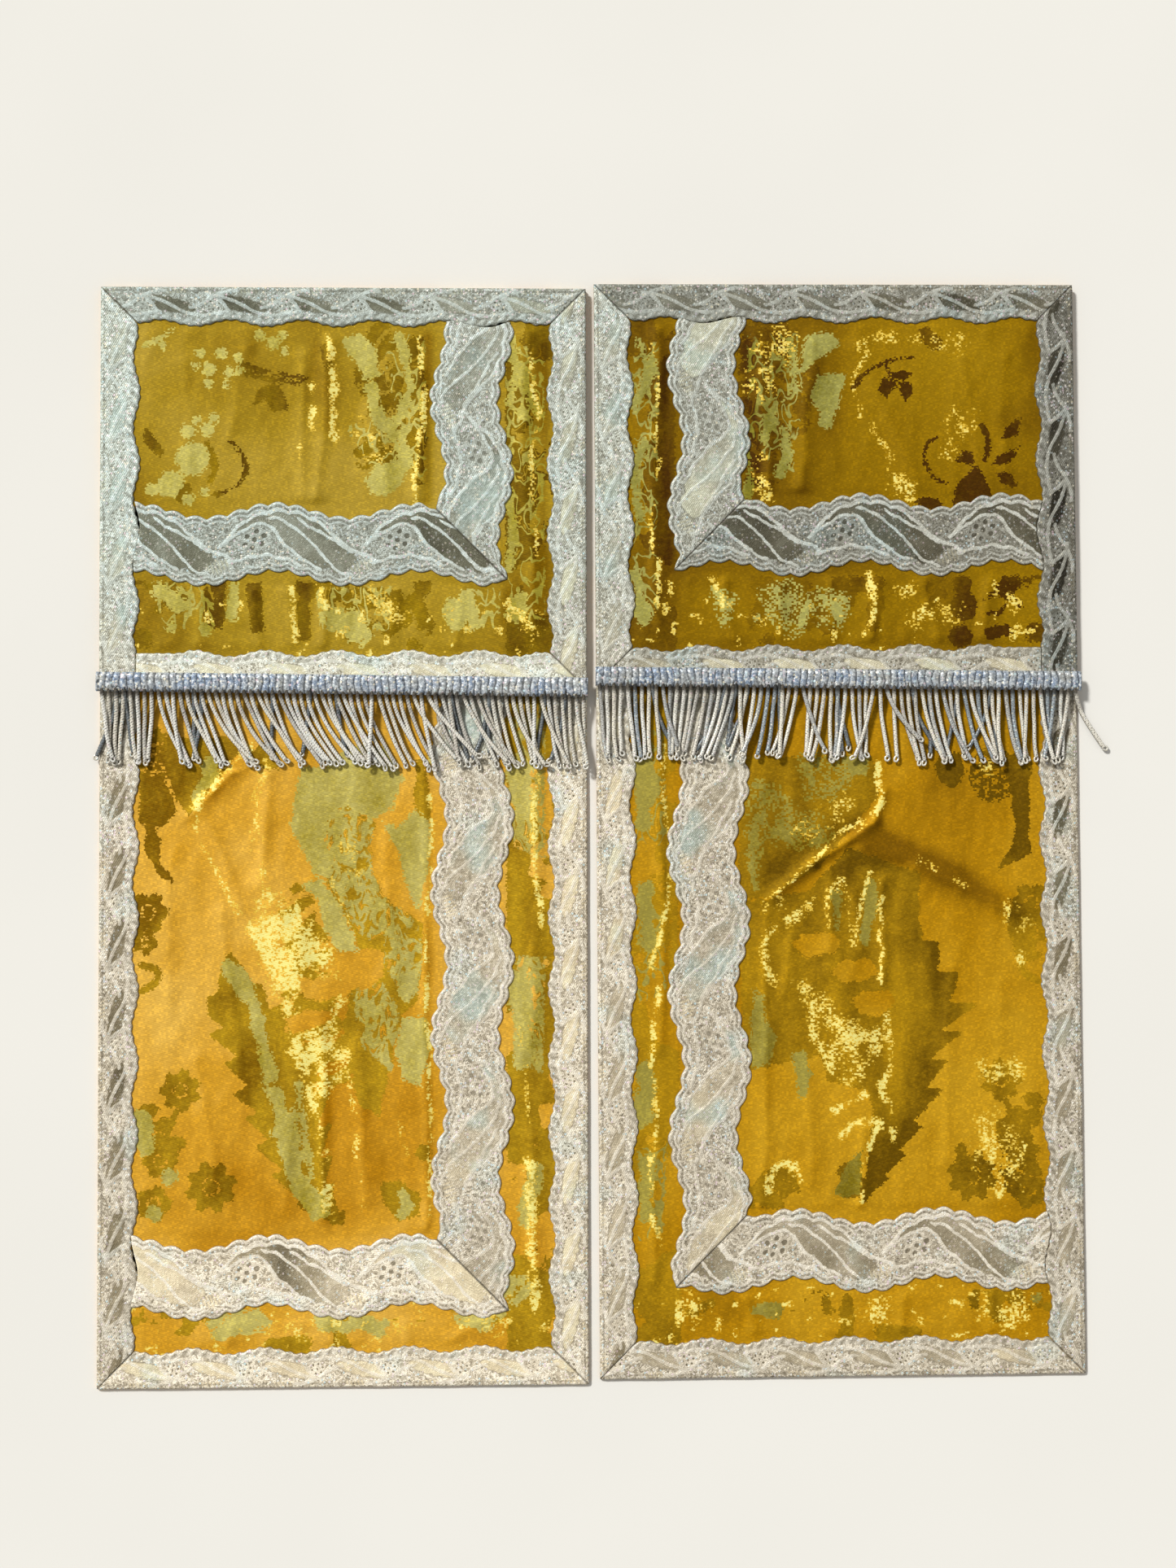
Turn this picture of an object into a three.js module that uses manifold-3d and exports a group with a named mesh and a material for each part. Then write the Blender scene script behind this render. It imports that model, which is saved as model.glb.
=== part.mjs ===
// Tabernacle veil in two halves, laid flat and face up. Each half is a long veil cloth with a shorter valance
// cloth over its upper part, both of brocade. Narrow galloon borders the cloths, a wide scalloped galloon makes
// an L on each, and a bullion fringe hangs from the valance's lower edge.
// Millimetres, +X to the right, +Y towards the top edge, +Z up from the surface that the veil lies on.
import * as THREE from "three";
import { mergeVertices } from "three/addons/utils/BufferGeometryUtils.js";
import Module from "manifold-3d";

const wasm = await Module();
wasm.setup();

// One half, measured flat: x runs from its opening edge to its outer edge, y from its lower hem to its top edge
const halfWidth = 300;
const halfHeight = 677;
const valanceHeight = 250;
const clothThickness = 1.5;
const galloonThickness = 1;
const layerGap = 0.3;

// Narrow galloon: straight outer edge, inner edge in shallow waves
const border = { width: 22.5, wave: 2, period: 44, pointsPerWave: 6, settle: 12 };

// Wide galloon: a serpentine band with scallops along both edges
const band = { width: 44, wave: 4.5, period: 88, scallop: 88 / 7, scallopDepth: 2.4, pointsPerScallop: 3, settle: 12 };
const endCutPoints = 8;

// Fringe: a woven heading tape and the bullion strands that hang from it
const tape = { height: 12, thickness: 3.2, overhang: 3, pastOpeningEdge: 0.5, pastOuterEdge: 1.5 };
const strand = { count: 69, thickness: 2.7, length: 42, rootDepth: 4, tipSpacing: 3.2, steps: 4, sides: 3 };

// Heights of the layers above the surface
const veilTrimBack = clothThickness + layerGap;
const valanceBack = veilTrimBack + galloonThickness + layerGap;
const valanceTrimBack = valanceBack + clothThickness + layerGap;
const tapeBack = valanceTrimBack + galloonThickness + layerGap;
const strandRest = valanceBack + strand.thickness / 2;
const strandOver = strandRest + strand.thickness + layerGap;
const valanceFoot = halfHeight - valanceHeight;

// Folds of the free cloth: each is a soft ridge from one point to another, in the half's own frame
const column = (names) => (row) => Object.fromEntries(names.split(" ").map((name, i) => [name, row[i]]));
const foldRow = column("fromX fromY toX toY spread rise");
const leftVeilFolds = [
  [206, 390, 245, 349, 9, 2.0],
  [237, 350, 212, 294, 10, 1.5],
  [197, 375, 200, 307, 12, 1.4],
  [197, 304, 162, 234, 18, 2.2],
  [164, 219, 161, 103, 10, 1.8],
  [101, 390, 99, 98, 9, 1.2],
  [141, 204, 139, 113, 10, 1.2],
  [33, 380, 31, 304, 9, 1.5],
  [31, 290, 36, 210, 9, 1.3],
  [36, 150, 33, 60, 9, 1.5],
  [163, 44, 158, 26, 11, 1.1],
  [60, 42, 84, 28, 11, 1.0],
].map(foldRow);
const rightVeilFolds = [
  [178, 360, 172, 341, 9, 1.6],
  [172, 341, 107, 294, 9, 2.2],
  [166, 328, 262, 283, 12, 1.8],
  [145, 311, 145, 262, 9, 1.0],
  [176, 305, 178, 243, 10, 1.4],
  [143, 248, 178, 147, 18, 2.0],
  [164, 152, 162, 102, 10, 1.4],
  [104, 285, 102, 105, 9, 1.2],
  [37, 384, 43, 298, 9, 1.5],
  [43, 290, 38, 200, 9, 1.3],
  [35, 160, 32, 60, 9, 1.5],
  [190, 50, 186, 28, 11, 1.1],
].map(foldRow);
const leftValanceFolds = [
  [158, 642, 167, 544, 11, 1.8],
  [102, 625, 104, 539, 9, 1.3],
  [133, 600, 121, 554, 12, 1.2],
  [35, 648, 40, 594, 9, 1.4],
  [40, 594, 31, 463, 9, 1.4],
  [206, 488, 204, 454, 9, 1.2],
  [161, 488, 164, 454, 9, 1.2],
  [78, 486, 80, 454, 9, 1.0],
].map(foldRow);
const rightValanceFolds = [
  [135, 640, 130, 551, 13, 1.7],
  [105, 637, 108, 546, 9, 1.3],
  [165, 637, 200, 556, 13, 1.1],
  [41, 648, 36, 580, 9, 1.4],
  [36, 580, 39, 461, 9, 1.4],
  [80, 492, 84, 456, 9, 1.1],
  [175, 492, 172, 456, 9, 1.2],
  [206, 490, 212, 456, 9, 1.0],
].map(foldRow);

// How the strands lie: tips drawn together in clumps, each clump swept sideways by its own amount
const clumpRow = column("strands sweep");
const leftClumps = [
  [3, -2], [5, -7], [4, -10], [6, -14], [5, -16], [6, -18], [4, -19], [6, -21],
  [5, -23], [6, -21], [4, -19], [3, -17], [4, -14], [4, -1], [4, 1],
].map(clumpRow);
const rightClumps = [
  [4, 2], [4, 3], [3, 1], [4, -5], [5, -9], [5, -10], [4, -8], [3, -3],
  [4, -1], [4, 2], [3, 4], [5, 7], [4, 9], [5, 10], [4, 8], [3, 4], [5, 2],
].map(clumpRow);

// Strands that lie across their neighbours, counted from the opening edge
const strayRow = column("strand sweep reach");
const leftStrays = [[22, -31, 37], [24, -27, 39], [30, 1, 43]].map(strayRow);
const rightStrays = [[9, 9, 37], [23, -11, 40], [29, 14, 38], [41, 20, 31]].map(strayRow);

// The two halves as they lie: side is the way from the opening edge to the outer edge
const halves = [
  {
    name: "left", side: -1, x: -153, y: -2, turn: 0.0022,
    valanceBand: { x: 71, y: 517, uprightCrest: 606, crossCrest: 192 },
    veilBand: { x: 71, y: 67, uprightCrest: 302, crossCrest: 196 },
    veilFolds: leftVeilFolds, valanceFolds: leftValanceFolds,
    clumps: leftClumps, strays: leftStrays, fringeTurn: 0.013, looseStrand: false,
  },
  {
    name: "right", side: 1, x: 153, y: 2, turn: 0.005,
    valanceBand: { x: 71, y: 520, uprightCrest: 580, crossCrest: 167 },
    veilBand: { x: 69, y: 77, uprightCrest: 280, crossCrest: 121 },
    veilFolds: rightVeilFolds, valanceFolds: rightValanceFolds,
    clumps: rightClumps, strays: rightStrays, fringeTurn: -0.013, looseStrand: true,
  },
];
const pairShift = { x: -7.58, y: -0.21 };

const brocade = new THREE.MeshStandardMaterial({ color: 0xb8841c, roughness: 0.45, metalness: 0.5 });
const silverGalloon = new THREE.MeshStandardMaterial({ color: 0xbdbdb2, roughness: 0.4, metalness: 0.6 });
const silverBullion = new THREE.MeshStandardMaterial({ color: 0xb4babd, roughness: 0.35, metalness: 0.7 });

const smooth = (t) => THREE.MathUtils.smoothstep(t, 0, 1);
const turns = (share) => 2 * Math.PI * share;

function namedMesh(name, geometry, material) {
  const mesh = new THREE.Mesh(geometry, material);
  mesh.name = name;
  return mesh;
}

// Evenly spaced values from first to last, both included
function spaced(first, last, step) {
  const cells = Math.max(1, Math.round((last - first) / step));
  return Array.from({ length: cells + 1 }, (_, i) => first + ((last - first) * i) / cells);
}

// Grid lines through a row of stretches, each with its own spacing
function gridLines(stretches) {
  const lines = stretches.flatMap(({ from, to, step }) => spaced(from, to, step).slice(0, -1));
  return [...lines, stretches.at(-1).to];
}

// Cloths

// 1 inside a stretch of free cloth, falling to 0 at the galloon on either side of it
function freeBetween(value, low, high) {
  const ramp = 6;
  return smooth((value - low) / ramp) * smooth((high - value) / ramp);
}

function foldHeight(folds, x, y) {
  const point = new THREE.Vector2(x, y);
  return folds.reduce((height, fold) => {
    const start = new THREE.Vector2(fold.fromX, fold.fromY);
    const run = new THREE.Vector2(fold.toX, fold.toY).sub(start);
    const along = THREE.MathUtils.clamp(point.clone().sub(start).dot(run) / run.lengthSq(), 0, 1);
    const away = point.distanceTo(start.addScaledVector(run, along));
    return height + fold.rise * Math.exp(-((away / fold.spread) ** 2));
  }, 0);
}

// How far the galloons reach over the cloth at their widest: from an edge, and from the middle of a band
const rim = border.width + border.wave;
const reach = band.width / 2 + band.wave;

// Lift of the cloth over its three free fields: beside the L, inside it and below it
function clothLift(folds, bandPlace, foot, head) {
  const outerRim = halfWidth - rim;
  return (x, y) => {
    const beside = freeBetween(x, rim, bandPlace.x - reach) * freeBetween(y, foot + rim, head);
    const inside = freeBetween(x, bandPlace.x + reach, outerRim) * freeBetween(y, bandPlace.y + reach, head);
    const below = freeBetween(x, rim, outerRim) * freeBetween(y, foot + rim, bandPlace.y - reach);
    return foldHeight(folds, x, y) * Math.max(beside, inside, below);
  };
}

// A sheet of even thickness over a grid, raised from its back level by the lift at each grid point
function sheetGeometry(columns, rows, back, lift) {
  const points = [];
  const triangles = [];
  for (const thickness of [0, clothThickness])
    for (const y of rows) for (const x of columns) points.push(x, y, back + lift(x, y) + thickness);
  const wide = columns.length;
  const layer = wide * rows.length;
  const quad = (a, b, c, d) => triangles.push(a, b, c, a, c, d);
  for (let r = 0; r < rows.length - 1; r++)
    for (let c = 0; c < wide - 1; c++) {
      const corner = r * wide + c;
      quad(corner, corner + wide, corner + wide + 1, corner + 1);
      quad(layer + corner, layer + corner + 1, layer + corner + wide + 1, layer + corner + wide);
    }
  const lastRow = layer - wide;
  for (let c = 0; c < wide - 1; c++) {
    quad(c, c + 1, layer + c + 1, layer + c);
    quad(lastRow + c + 1, lastRow + c, layer + lastRow + c, layer + lastRow + c + 1);
  }
  for (let first = 0; first < lastRow; first += wide) {
    const last = first + wide - 1;
    quad(first + wide, first, layer + first, layer + first + wide);
    quad(last, last + wide, layer + last + wide, layer + last);
  }
  return new THREE.BufferGeometry()
    .setAttribute("position", new THREE.Float32BufferAttribute(points, 3))
    .setIndex(triangles);
}

const fieldStep = 18;
const edgeStep = 6.5;
const plainStep = 60;

function clothColumns(bandPlace) {
  return gridLines([
    { from: 0, to: rim, step: plainStep },
    { from: rim, to: bandPlace.x - reach, step: edgeStep },
    { from: bandPlace.x - reach, to: bandPlace.x + reach, step: plainStep },
    { from: bandPlace.x + reach, to: halfWidth - rim, step: fieldStep },
    { from: halfWidth - rim, to: halfWidth, step: plainStep },
  ]);
}

function clothRows(bandPlace, foot, freeTo) {
  return gridLines([
    { from: foot, to: foot + rim, step: plainStep },
    { from: foot + rim, to: bandPlace.y - reach, step: edgeStep },
    { from: bandPlace.y - reach, to: bandPlace.y + reach, step: plainStep },
    { from: bandPlace.y + reach, to: freeTo, step: fieldStep },
    { from: freeTo, to: halfHeight, step: plainStep * 4 },
  ]);
}

function veilCloth(half) {
  const clearOfFringe = valanceFoot - tape.overhang - strand.length;
  const lift = clothLift(half.veilFolds, half.veilBand, 0, clearOfFringe);
  const rows = clothRows(half.veilBand, 0, clearOfFringe);
  return sheetGeometry(clothColumns(half.veilBand), rows, 0, lift);
}

function valanceCloth(half) {
  const freeTo = halfHeight - rim;
  const lift = clothLift(half.valanceFolds, half.valanceBand, valanceFoot, freeTo);
  const rows = clothRows(half.valanceBand, valanceFoot, freeTo);
  return sheetGeometry(clothColumns(half.valanceBand), rows, valanceBack, lift);
}

// Galloons

// How far the border's inner edge lies from its straight edge, at a distance along a run of a given length
function borderDepth(along, length) {
  const calm = smooth((Math.min(along, length - along) - border.width - layerGap) / border.settle);
  return border.width - border.wave * calm * Math.cos(turns(along / border.period));
}

// Outline of a border strip as [along, depth] pairs. Each end is a mitre or is cut square.
// Past plainFrom the inner edge is straight.
function borderOutline({ length, mitreStart, mitreEnd, plainFrom = length }) {
  const seam = layerGap * Math.SQRT1_2;
  const start = mitreStart ? seam : 0;
  const end = mitreEnd ? length - seam : length;
  const innerStart = mitreStart ? start + border.width : start;
  const innerEnd = mitreEnd ? end - border.width : end;
  const wavy = spaced(innerStart, Math.min(innerEnd, plainFrom), border.period / border.pointsPerWave);
  const inner = wavy.map((along) => [along, borderDepth(along, plainFrom)]);
  if (plainFrom < innerEnd) inner.push([innerEnd, border.width]);
  return [[end, 0], [start, 0], ...inner];
}

// Outline of one leg of the L as [along, across] pairs, from the mitred corner. Across is positive inside the L.
// crest is where the serpentine lies furthest inside, and endAt gives where the leg ends for each across.
function bandOutline({ crest, endAt, plainFrom = Infinity }) {
  const reach = band.width / 2;
  const edge = (sign) => {
    const start = sign * reach;
    const stop = Math.min(endAt(start), plainFrom);
    const offset = (along) => {
      const calm = smooth((along - start) / band.settle) * smooth((plainFrom - along) / band.settle);
      const swing = band.wave * Math.cos(turns((along - crest) / band.period));
      const dip = band.scallopDepth * (1 - Math.abs(Math.sin(turns(along / band.scallop / 2))));
      return sign * reach + calm * (swing - sign * dip);
    };
    const step = band.scallop / band.pointsPerScallop;
    const points = spaced(start, stop - step / 2, step).map((along) => [along, offset(along)]);
    return { points, last: points.at(-1)[1] };
  };
  const outer = edge(-1);
  const inner = edge(1);
  const endCut = spaced(outer.last, inner.last, band.width / endCutPoints).map((across) => [endAt(across), across]);
  const seam = layerGap * Math.SQRT1_2;
  const corner = (points) => [[points[0][0] + seam, points[0][1]], ...points.slice(1)];
  return [...corner(outer.points), ...endCut, ...corner(inner.points).reverse()];
}

// A flat galloon of an outline, with toXY setting each outline pair in the half's frame
function galloonGeometry(outline, toXY, back) {
  const shape = new THREE.Shape(outline.map(([along, depth]) => new THREE.Vector2(...toXY(along, depth))));
  const solid = new THREE.ExtrudeGeometry(shape, { depth: galloonThickness, bevelEnabled: false });
  return solid.translate(0, 0, back);
}

function valanceBorders(half) {
  const side = { length: valanceHeight, mitreStart: true };
  const across = { length: halfWidth, mitreStart: true };
  const buttedLength = halfWidth - border.width - layerGap;
  const strips = {
    top: [{ ...across, mitreEnd: true }, (s, d) => [s, halfHeight - d]],
    opening: [{ ...side, mitreEnd: true }, (s, d) => [d, halfHeight - s]],
    outer: [side, (s, d) => [halfWidth - d, halfHeight - s]],
    bottom: [{ length: buttedLength, mitreStart: true }, (s, d) => [s, valanceFoot + d]],
  };
  return Object.entries(strips).map(([place, [run, toXY]]) =>
    namedMesh(
      `${half.name}_valance_border_${place}`,
      galloonGeometry(borderOutline(run), toXY, valanceTrimBack),
      silverGalloon,
    ),
  );
}

function veilBorders(half) {
  const upright = { length: halfHeight, mitreStart: true, plainFrom: valanceFoot };
  const strips = {
    opening: [upright, (s, d) => [d, s]],
    outer: [upright, (s, d) => [halfWidth - d, s]],
    bottom: [{ length: halfWidth, mitreStart: true, mitreEnd: true }, (s, d) => [s, d]],
  };
  return Object.entries(strips).map(([place, [run, toXY]]) =>
    namedMesh(
      `${half.name}_veil_border_${place}`,
      galloonGeometry(borderOutline(run), toXY, veilTrimBack),
      silverGalloon,
    ),
  );
}

// The two legs of an L, whose ends stop just short of the borders
function bandLegs(name, place, legs, back) {
  const upright = bandOutline(legs.upright);
  const cross = bandOutline(legs.cross);
  const uprightXY = (along, across) => [place.x + across, place.y + along];
  const crossXY = (along, across) => [place.x + along, place.y + across];
  return [
    namedMesh(`${name}_band_upright`, galloonGeometry(upright, uprightXY, back), silverGalloon),
    namedMesh(`${name}_band_cross`, galloonGeometry(cross, crossXY, back), silverGalloon),
  ];
}

function valanceBand(half) {
  const place = half.valanceBand;
  const topEdge = (x) => halfHeight - borderDepth(x, halfWidth) - layerGap;
  const outerEdge = (y) => halfWidth - borderDepth(halfHeight - y, valanceHeight) - layerGap;
  const legs = {
    upright: { crest: place.uprightCrest - place.y, endAt: (across) => topEdge(place.x + across) - place.y },
    cross: { crest: place.crossCrest - place.x, endAt: (across) => outerEdge(place.y + across) - place.x },
  };
  return bandLegs(`${half.name}_valance`, place, legs, valanceTrimBack);
}

function veilBand(half) {
  const place = half.veilBand;
  const outerEdge = (y) => halfWidth - borderDepth(y, valanceFoot) - layerGap;
  const legs = {
    upright: {
      crest: place.uprightCrest - place.y,
      endAt: () => halfHeight - place.y,
      plainFrom: valanceFoot - place.y,
    },
    cross: { crest: place.crossCrest - place.x, endAt: (across) => outerEdge(place.y + across) - place.x },
  };
  return bandLegs(`${half.name}_veil`, place, legs, veilTrimBack);
}

// Fringe

// Root and tip of each strand along the heading, from the opening edge to the outer edge
function strandPlaces(half) {
  const pitch = halfWidth / strand.count;
  const places = [];
  for (const clump of half.clumps) {
    const middle = (places.length + clump.strands / 2) * pitch;
    for (let i = 0; i < clump.strands; i++) {
      const root = (places.length + 0.5) * pitch;
      const tip = middle + clump.sweep + (i + 0.5 - clump.strands / 2) * strand.tipSpacing;
      places.push({ root, tip, reach: strand.length, tipHeight: strandRest });
    }
  }
  for (const stray of half.strays) {
    const place = places[stray.strand];
    Object.assign(place, { tip: place.root + stray.sweep, reach: stray.reach, tipHeight: strandOver });
  }
  if (half.looseStrand) {
    const place = places.at(-1);
    Object.assign(place, { tip: place.root + 19, reach: 35, tipHeight: strand.thickness / 2 + 0.12 });
  }
  return places;
}

// A closed tube along a strand's path: out of the heading, down to the cloth and along it
function strandGeometry({ root, tip, reach, tipHeight }) {
  const rootHeight = tapeBack + tape.thickness / 2;
  const at = (share, sideways, down) =>
    new THREE.Vector3(
      root + (tip - root) * sideways,
      -reach * share,
      THREE.MathUtils.lerp(rootHeight, tipHeight, down),
    );
  const path = new THREE.CatmullRomCurve3([
    new THREE.Vector3(root, strand.rootDepth, rootHeight),
    at(0.12, 0.04, 0.2),
    at(0.38, 0.27, 1),
    at(0.7, 0.64, 1),
    at(1, 1, 1),
  ]);
  const section = new THREE.Shape(
    Array.from({ length: strand.sides }, (_, i) => {
      const angle = turns(i / strand.sides);
      return new THREE.Vector2(Math.cos(angle), Math.sin(angle)).multiplyScalar(strand.thickness / 2);
    }),
  );
  return new THREE.ExtrudeGeometry(section, { steps: strand.steps, extrudePath: path, bevelEnabled: false });
}

function toSolid(geometry) {
  const bare = geometry.clone().deleteAttribute("normal").deleteAttribute("uv");
  const merged = mergeVertices(bare, 1e-4);
  return new wasm.Manifold(
    new wasm.Mesh({
      numProp: 3,
      vertProperties: merged.attributes.position.array,
      triVerts: new Uint32Array(merged.index.array),
    }),
  );
}

function fromSolid(solid) {
  const mesh = solid.getMesh();
  return new THREE.BufferGeometry()
    .setAttribute("position", new THREE.BufferAttribute(mesh.vertProperties, 3))
    .setIndex(new THREE.BufferAttribute(mesh.triVerts, 1));
}

// Heading tape with its strands fused on by their roots, built with y = 0 at the tape's lower edge
function fringe(half) {
  const width = halfWidth + tape.pastOpeningEdge + tape.pastOuterEdge;
  const heading = new THREE.BoxGeometry(width, tape.height, tape.thickness);
  heading.translate(width / 2 - tape.pastOpeningEdge, tape.height / 2, tapeBack + tape.thickness / 2);
  const solids = [heading, ...strandPlaces(half).map(strandGeometry)].map(toSolid);
  const joined = solids.reduce((whole, solid) => whole.add(solid));
  const mesh = namedMesh(`${half.name}_fringe`, fromSolid(joined), silverBullion);
  mesh.rotation.z = half.fringeTurn;
  mesh.position.set(0, valanceFoot - tape.overhang - (Math.sin(half.fringeTurn) * halfWidth) / 2, 0);
  return mesh;
}

// The veil

function veilHalf(half) {
  const sewn = new THREE.Group();
  sewn.add(namedMesh(`${half.name}_veil_cloth`, veilCloth(half), brocade));
  sewn.add(...veilBorders(half), ...veilBand(half));
  sewn.add(namedMesh(`${half.name}_valance_cloth`, valanceCloth(half), brocade));
  sewn.add(...valanceBorders(half), ...valanceBand(half), fringe(half));
  sewn.scale.x = half.side;
  sewn.position.set((-half.side * halfWidth) / 2, -halfHeight / 2, 0);
  const laid = new THREE.Group();
  laid.add(sewn);
  laid.rotation.z = half.turn;
  laid.position.set(half.x + pairShift.x, half.y + pairShift.y, 0);
  return laid;
}

const veil = new THREE.Group();
veil.add(...halves.map(veilHalf));

export default veil;
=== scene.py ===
# Tabernacle veil: two mirrored halves laid flat, seen from above.
# Pieces are drawn in millimetres in a half's own frame (x from the opening edge outwards, y from the hem up)
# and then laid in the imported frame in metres.
import bpy, math
import numpy as np
from mathutils import Matrix, Vector


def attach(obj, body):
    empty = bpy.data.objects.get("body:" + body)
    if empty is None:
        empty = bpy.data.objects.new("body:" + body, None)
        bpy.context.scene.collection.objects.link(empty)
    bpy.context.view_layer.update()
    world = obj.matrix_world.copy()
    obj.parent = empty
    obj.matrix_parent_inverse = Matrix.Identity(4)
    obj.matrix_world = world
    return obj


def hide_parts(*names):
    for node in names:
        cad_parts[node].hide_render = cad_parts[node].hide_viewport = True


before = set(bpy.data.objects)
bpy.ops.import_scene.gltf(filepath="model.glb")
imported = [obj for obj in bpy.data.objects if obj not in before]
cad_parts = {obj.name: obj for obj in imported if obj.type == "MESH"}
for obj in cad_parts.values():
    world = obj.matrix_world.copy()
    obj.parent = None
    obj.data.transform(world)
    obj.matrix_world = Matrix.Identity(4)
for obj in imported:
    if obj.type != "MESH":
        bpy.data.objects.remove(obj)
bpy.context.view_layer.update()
scene = bpy.context.scene
mm = 0.001
tau = 2 * math.pi
far = 1e9
tiny = 1e-9

half = dict(width=300.0, height=677.0, valance=250.0)
valanceFoot = half["height"] - half["valance"]
levels = dict(veilBack=0.0, veilFace=1.5, valanceBack=3.1, valanceFace=4.6, tapeBack=6.0)

# how each half lies, and where its wide galloon runs
halves = {
    "left": dict(
        side=-1, x=-160.58, y=-2.21, turn=0.0022,
        valanceBand=dict(x=71, y=517, uprightCrest=606, crossCrest=192),
        veilBand=dict(x=71, y=67, uprightCrest=302, crossCrest=196),
    ),
    "right": dict(
        side=1, x=145.42, y=1.79, turn=0.005,
        valanceBand=dict(x=71, y=520, uprightCrest=580, crossCrest=167),
        veilBand=dict(x=69, y=77, uprightCrest=280, crossCrest=121),
    ),
}


def smooth(t):
    t = np.clip(t, 0.0, 1.0)
    return t * t * (3 - 2 * t)


def toFrame(h, x, y, z):
    # a half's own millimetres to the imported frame's metres
    px = h["side"] * (x - half["width"] / 2)
    py = y - half["height"] / 2
    c, s = math.cos(h["turn"]), math.sin(h["turn"])
    out = np.empty(np.broadcast(x, y, z).shape + (3,))
    out[..., 0] = px * c - py * s + h["x"]
    out[..., 1] = px * s + py * c + h["y"]
    out[..., 2] = z
    return out * mm


def lumps(x, y, size, seed):
    # smooth random field from about -1 to 1, with lumps of the given size in mm
    cells = 64
    table = np.random.default_rng(seed).random((cells, cells)) * 2 - 1
    u, v = x / size + 17.3, y / size + 13.1
    i, j = np.floor(u).astype(int), np.floor(v).astype(int)
    fu, fv = smooth(u - i), smooth(v - j)
    i0, j0, i1, j1 = i % cells, j % cells, (i + 1) % cells, (j + 1) % cells
    low = table[i0, j0] * (1 - fu) + table[i1, j0] * fu
    high = table[i0, j1] * (1 - fu) + table[i1, j1] * fu
    return low * (1 - fv) + high * fv


def curve(points, steps=5):
    # smooth run through a few points
    if len(points) < 3:
        return np.array(points, float)
    p = np.array([points[0], *points, points[-1]], float)
    t = np.linspace(0, 1, steps, endpoint=False)[:, None]
    spans = []
    for a, b, c, d in zip(p[:-3], p[1:-2], p[2:-1], p[3:]):
        bend = (2 * a - 5 * b + 4 * c - d) * t ** 2 + (3 * b - a - 3 * c + d) * t ** 3
        spans.append(0.5 * (2 * b + (c - a) * t + bend))
    return np.vstack(spans + [p[-1:]])


def toSpan(x, y, start, end):
    # distance from each place to a straight span, and the share of the span at its nearest point
    (ax, ay), (bx, by) = start, end
    dx, dy = bx - ax, by - ay
    t = np.clip(((x - ax) * dx + (y - ay) * dy) / (dx * dx + dy * dy + tiny), 0, 1)
    return np.hypot(x - ax - t * dx, y - ay - t * dy), t


def toLine(x, y, points):
    # distance from each place to a smooth run of points, or to a single point
    if len(points) == 1:
        return np.hypot(x - points[0][0], y - points[0][1])
    best = np.full(np.shape(x), far)
    run = curve(points)
    for start, end in zip(run[:-1], run[1:]):
        best = np.minimum(best, toSpan(x, y, start, end)[0])
    return best


def intoArea(x, y, points):
    # distance into an outlined area, below zero outside it
    best = np.full(np.shape(x), far)
    inside = np.zeros(np.shape(x), bool)
    for start, end in zip(points, points[1:] + points[:1]):
        best = np.minimum(best, toSpan(x, y, start, end)[0])
        (ax, ay), (bx, by) = start, end
        inside ^= ((ay > y) != (by > y)) & (x < (bx - ax) * (y - ay) / (by - ay + tiny) + ax)
    return np.where(inside, best, -best)


def sheetMesh(name, top, back, flat, values, lined=False):
    # closed thin piece: a grid for its face, a rim and a flat back; flat holds the face's own places in mm
    rows, cols = top.shape[:2]
    grid = np.arange(rows * cols).reshape(rows, cols)
    rim = np.concatenate([grid[0], grid[1:, -1], grid[-1, -2::-1], grid[-2:0:-1, 0]])
    low = np.full(rows * cols, -1)
    low[rim] = rows * cols + np.arange(len(rim))
    under = top.reshape(-1, 3)[rim].copy()
    under[:, 2] = back
    verts = np.vstack([top.reshape(-1, 3), under])
    quads = np.stack([grid[:-1, :-1], grid[:-1, 1:], grid[1:, 1:], grid[1:, :-1]], -1).reshape(-1, 4)
    nextRim = np.roll(rim, -1)
    sides = np.stack([nextRim, rim, low[rim], low[nextRim]], -1)
    backs = [list(low[grid[0]][::-1]) + [low[grid[1, 0]], low[grid[1, -1]]]]
    for r in range(1, rows - 2):
        backs.append([low[grid[r, -1]], low[grid[r, 0]], low[grid[r + 1, 0]], low[grid[r + 1, -1]]])
    backs.append([low[grid[-2, -1]], low[grid[-2, 0]]] + list(low[grid[-1]]))
    faces = quads.tolist() + sides.tolist() + [[int(i) for i in f] for f in backs]
    a, b, c = verts[quads[0, 0]], verts[quads[0, 1]], verts[quads[0, 2]]
    if np.cross(b - a, c - b)[2] < 0:
        faces = [f[::-1] for f in faces]
    mesh = bpy.data.meshes.new(name)
    mesh.from_pydata(verts.tolist(), [], faces)
    isFace = np.arange(len(faces)) < len(quads)
    isBack = np.arange(len(faces)) >= len(quads) + len(sides)
    mesh.polygons.foreach_set("use_smooth", isFace)
    mesh.polygons.foreach_set("material_index", isBack.astype(np.int32) * lined)
    flatAll = np.vstack([flat.reshape(-1, 2), flat.reshape(-1, 2)[rim]]) * mm
    corners = np.empty(len(mesh.loops), np.int32)
    mesh.loops.foreach_get("vertex_index", corners)
    mesh.uv_layers.new(name="flat").data.foreach_set("uv", flatAll[corners].astype(np.float32).ravel())
    for key, value in values.items():
        spread = np.concatenate([value.ravel(), value.ravel()[rim]])
        mesh.attributes.new(key, "FLOAT", "POINT").data.foreach_set("value", spread.astype(np.float32))
    piece = bpy.data.objects.new(name, mesh)
    scene.collection.objects.link(piece)
    return piece


def seat(piece, node, slot, *materials):
    for material in materials:
        piece.data.materials.append(material)
    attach(piece, "root")
    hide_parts(node)
    return piece


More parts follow.
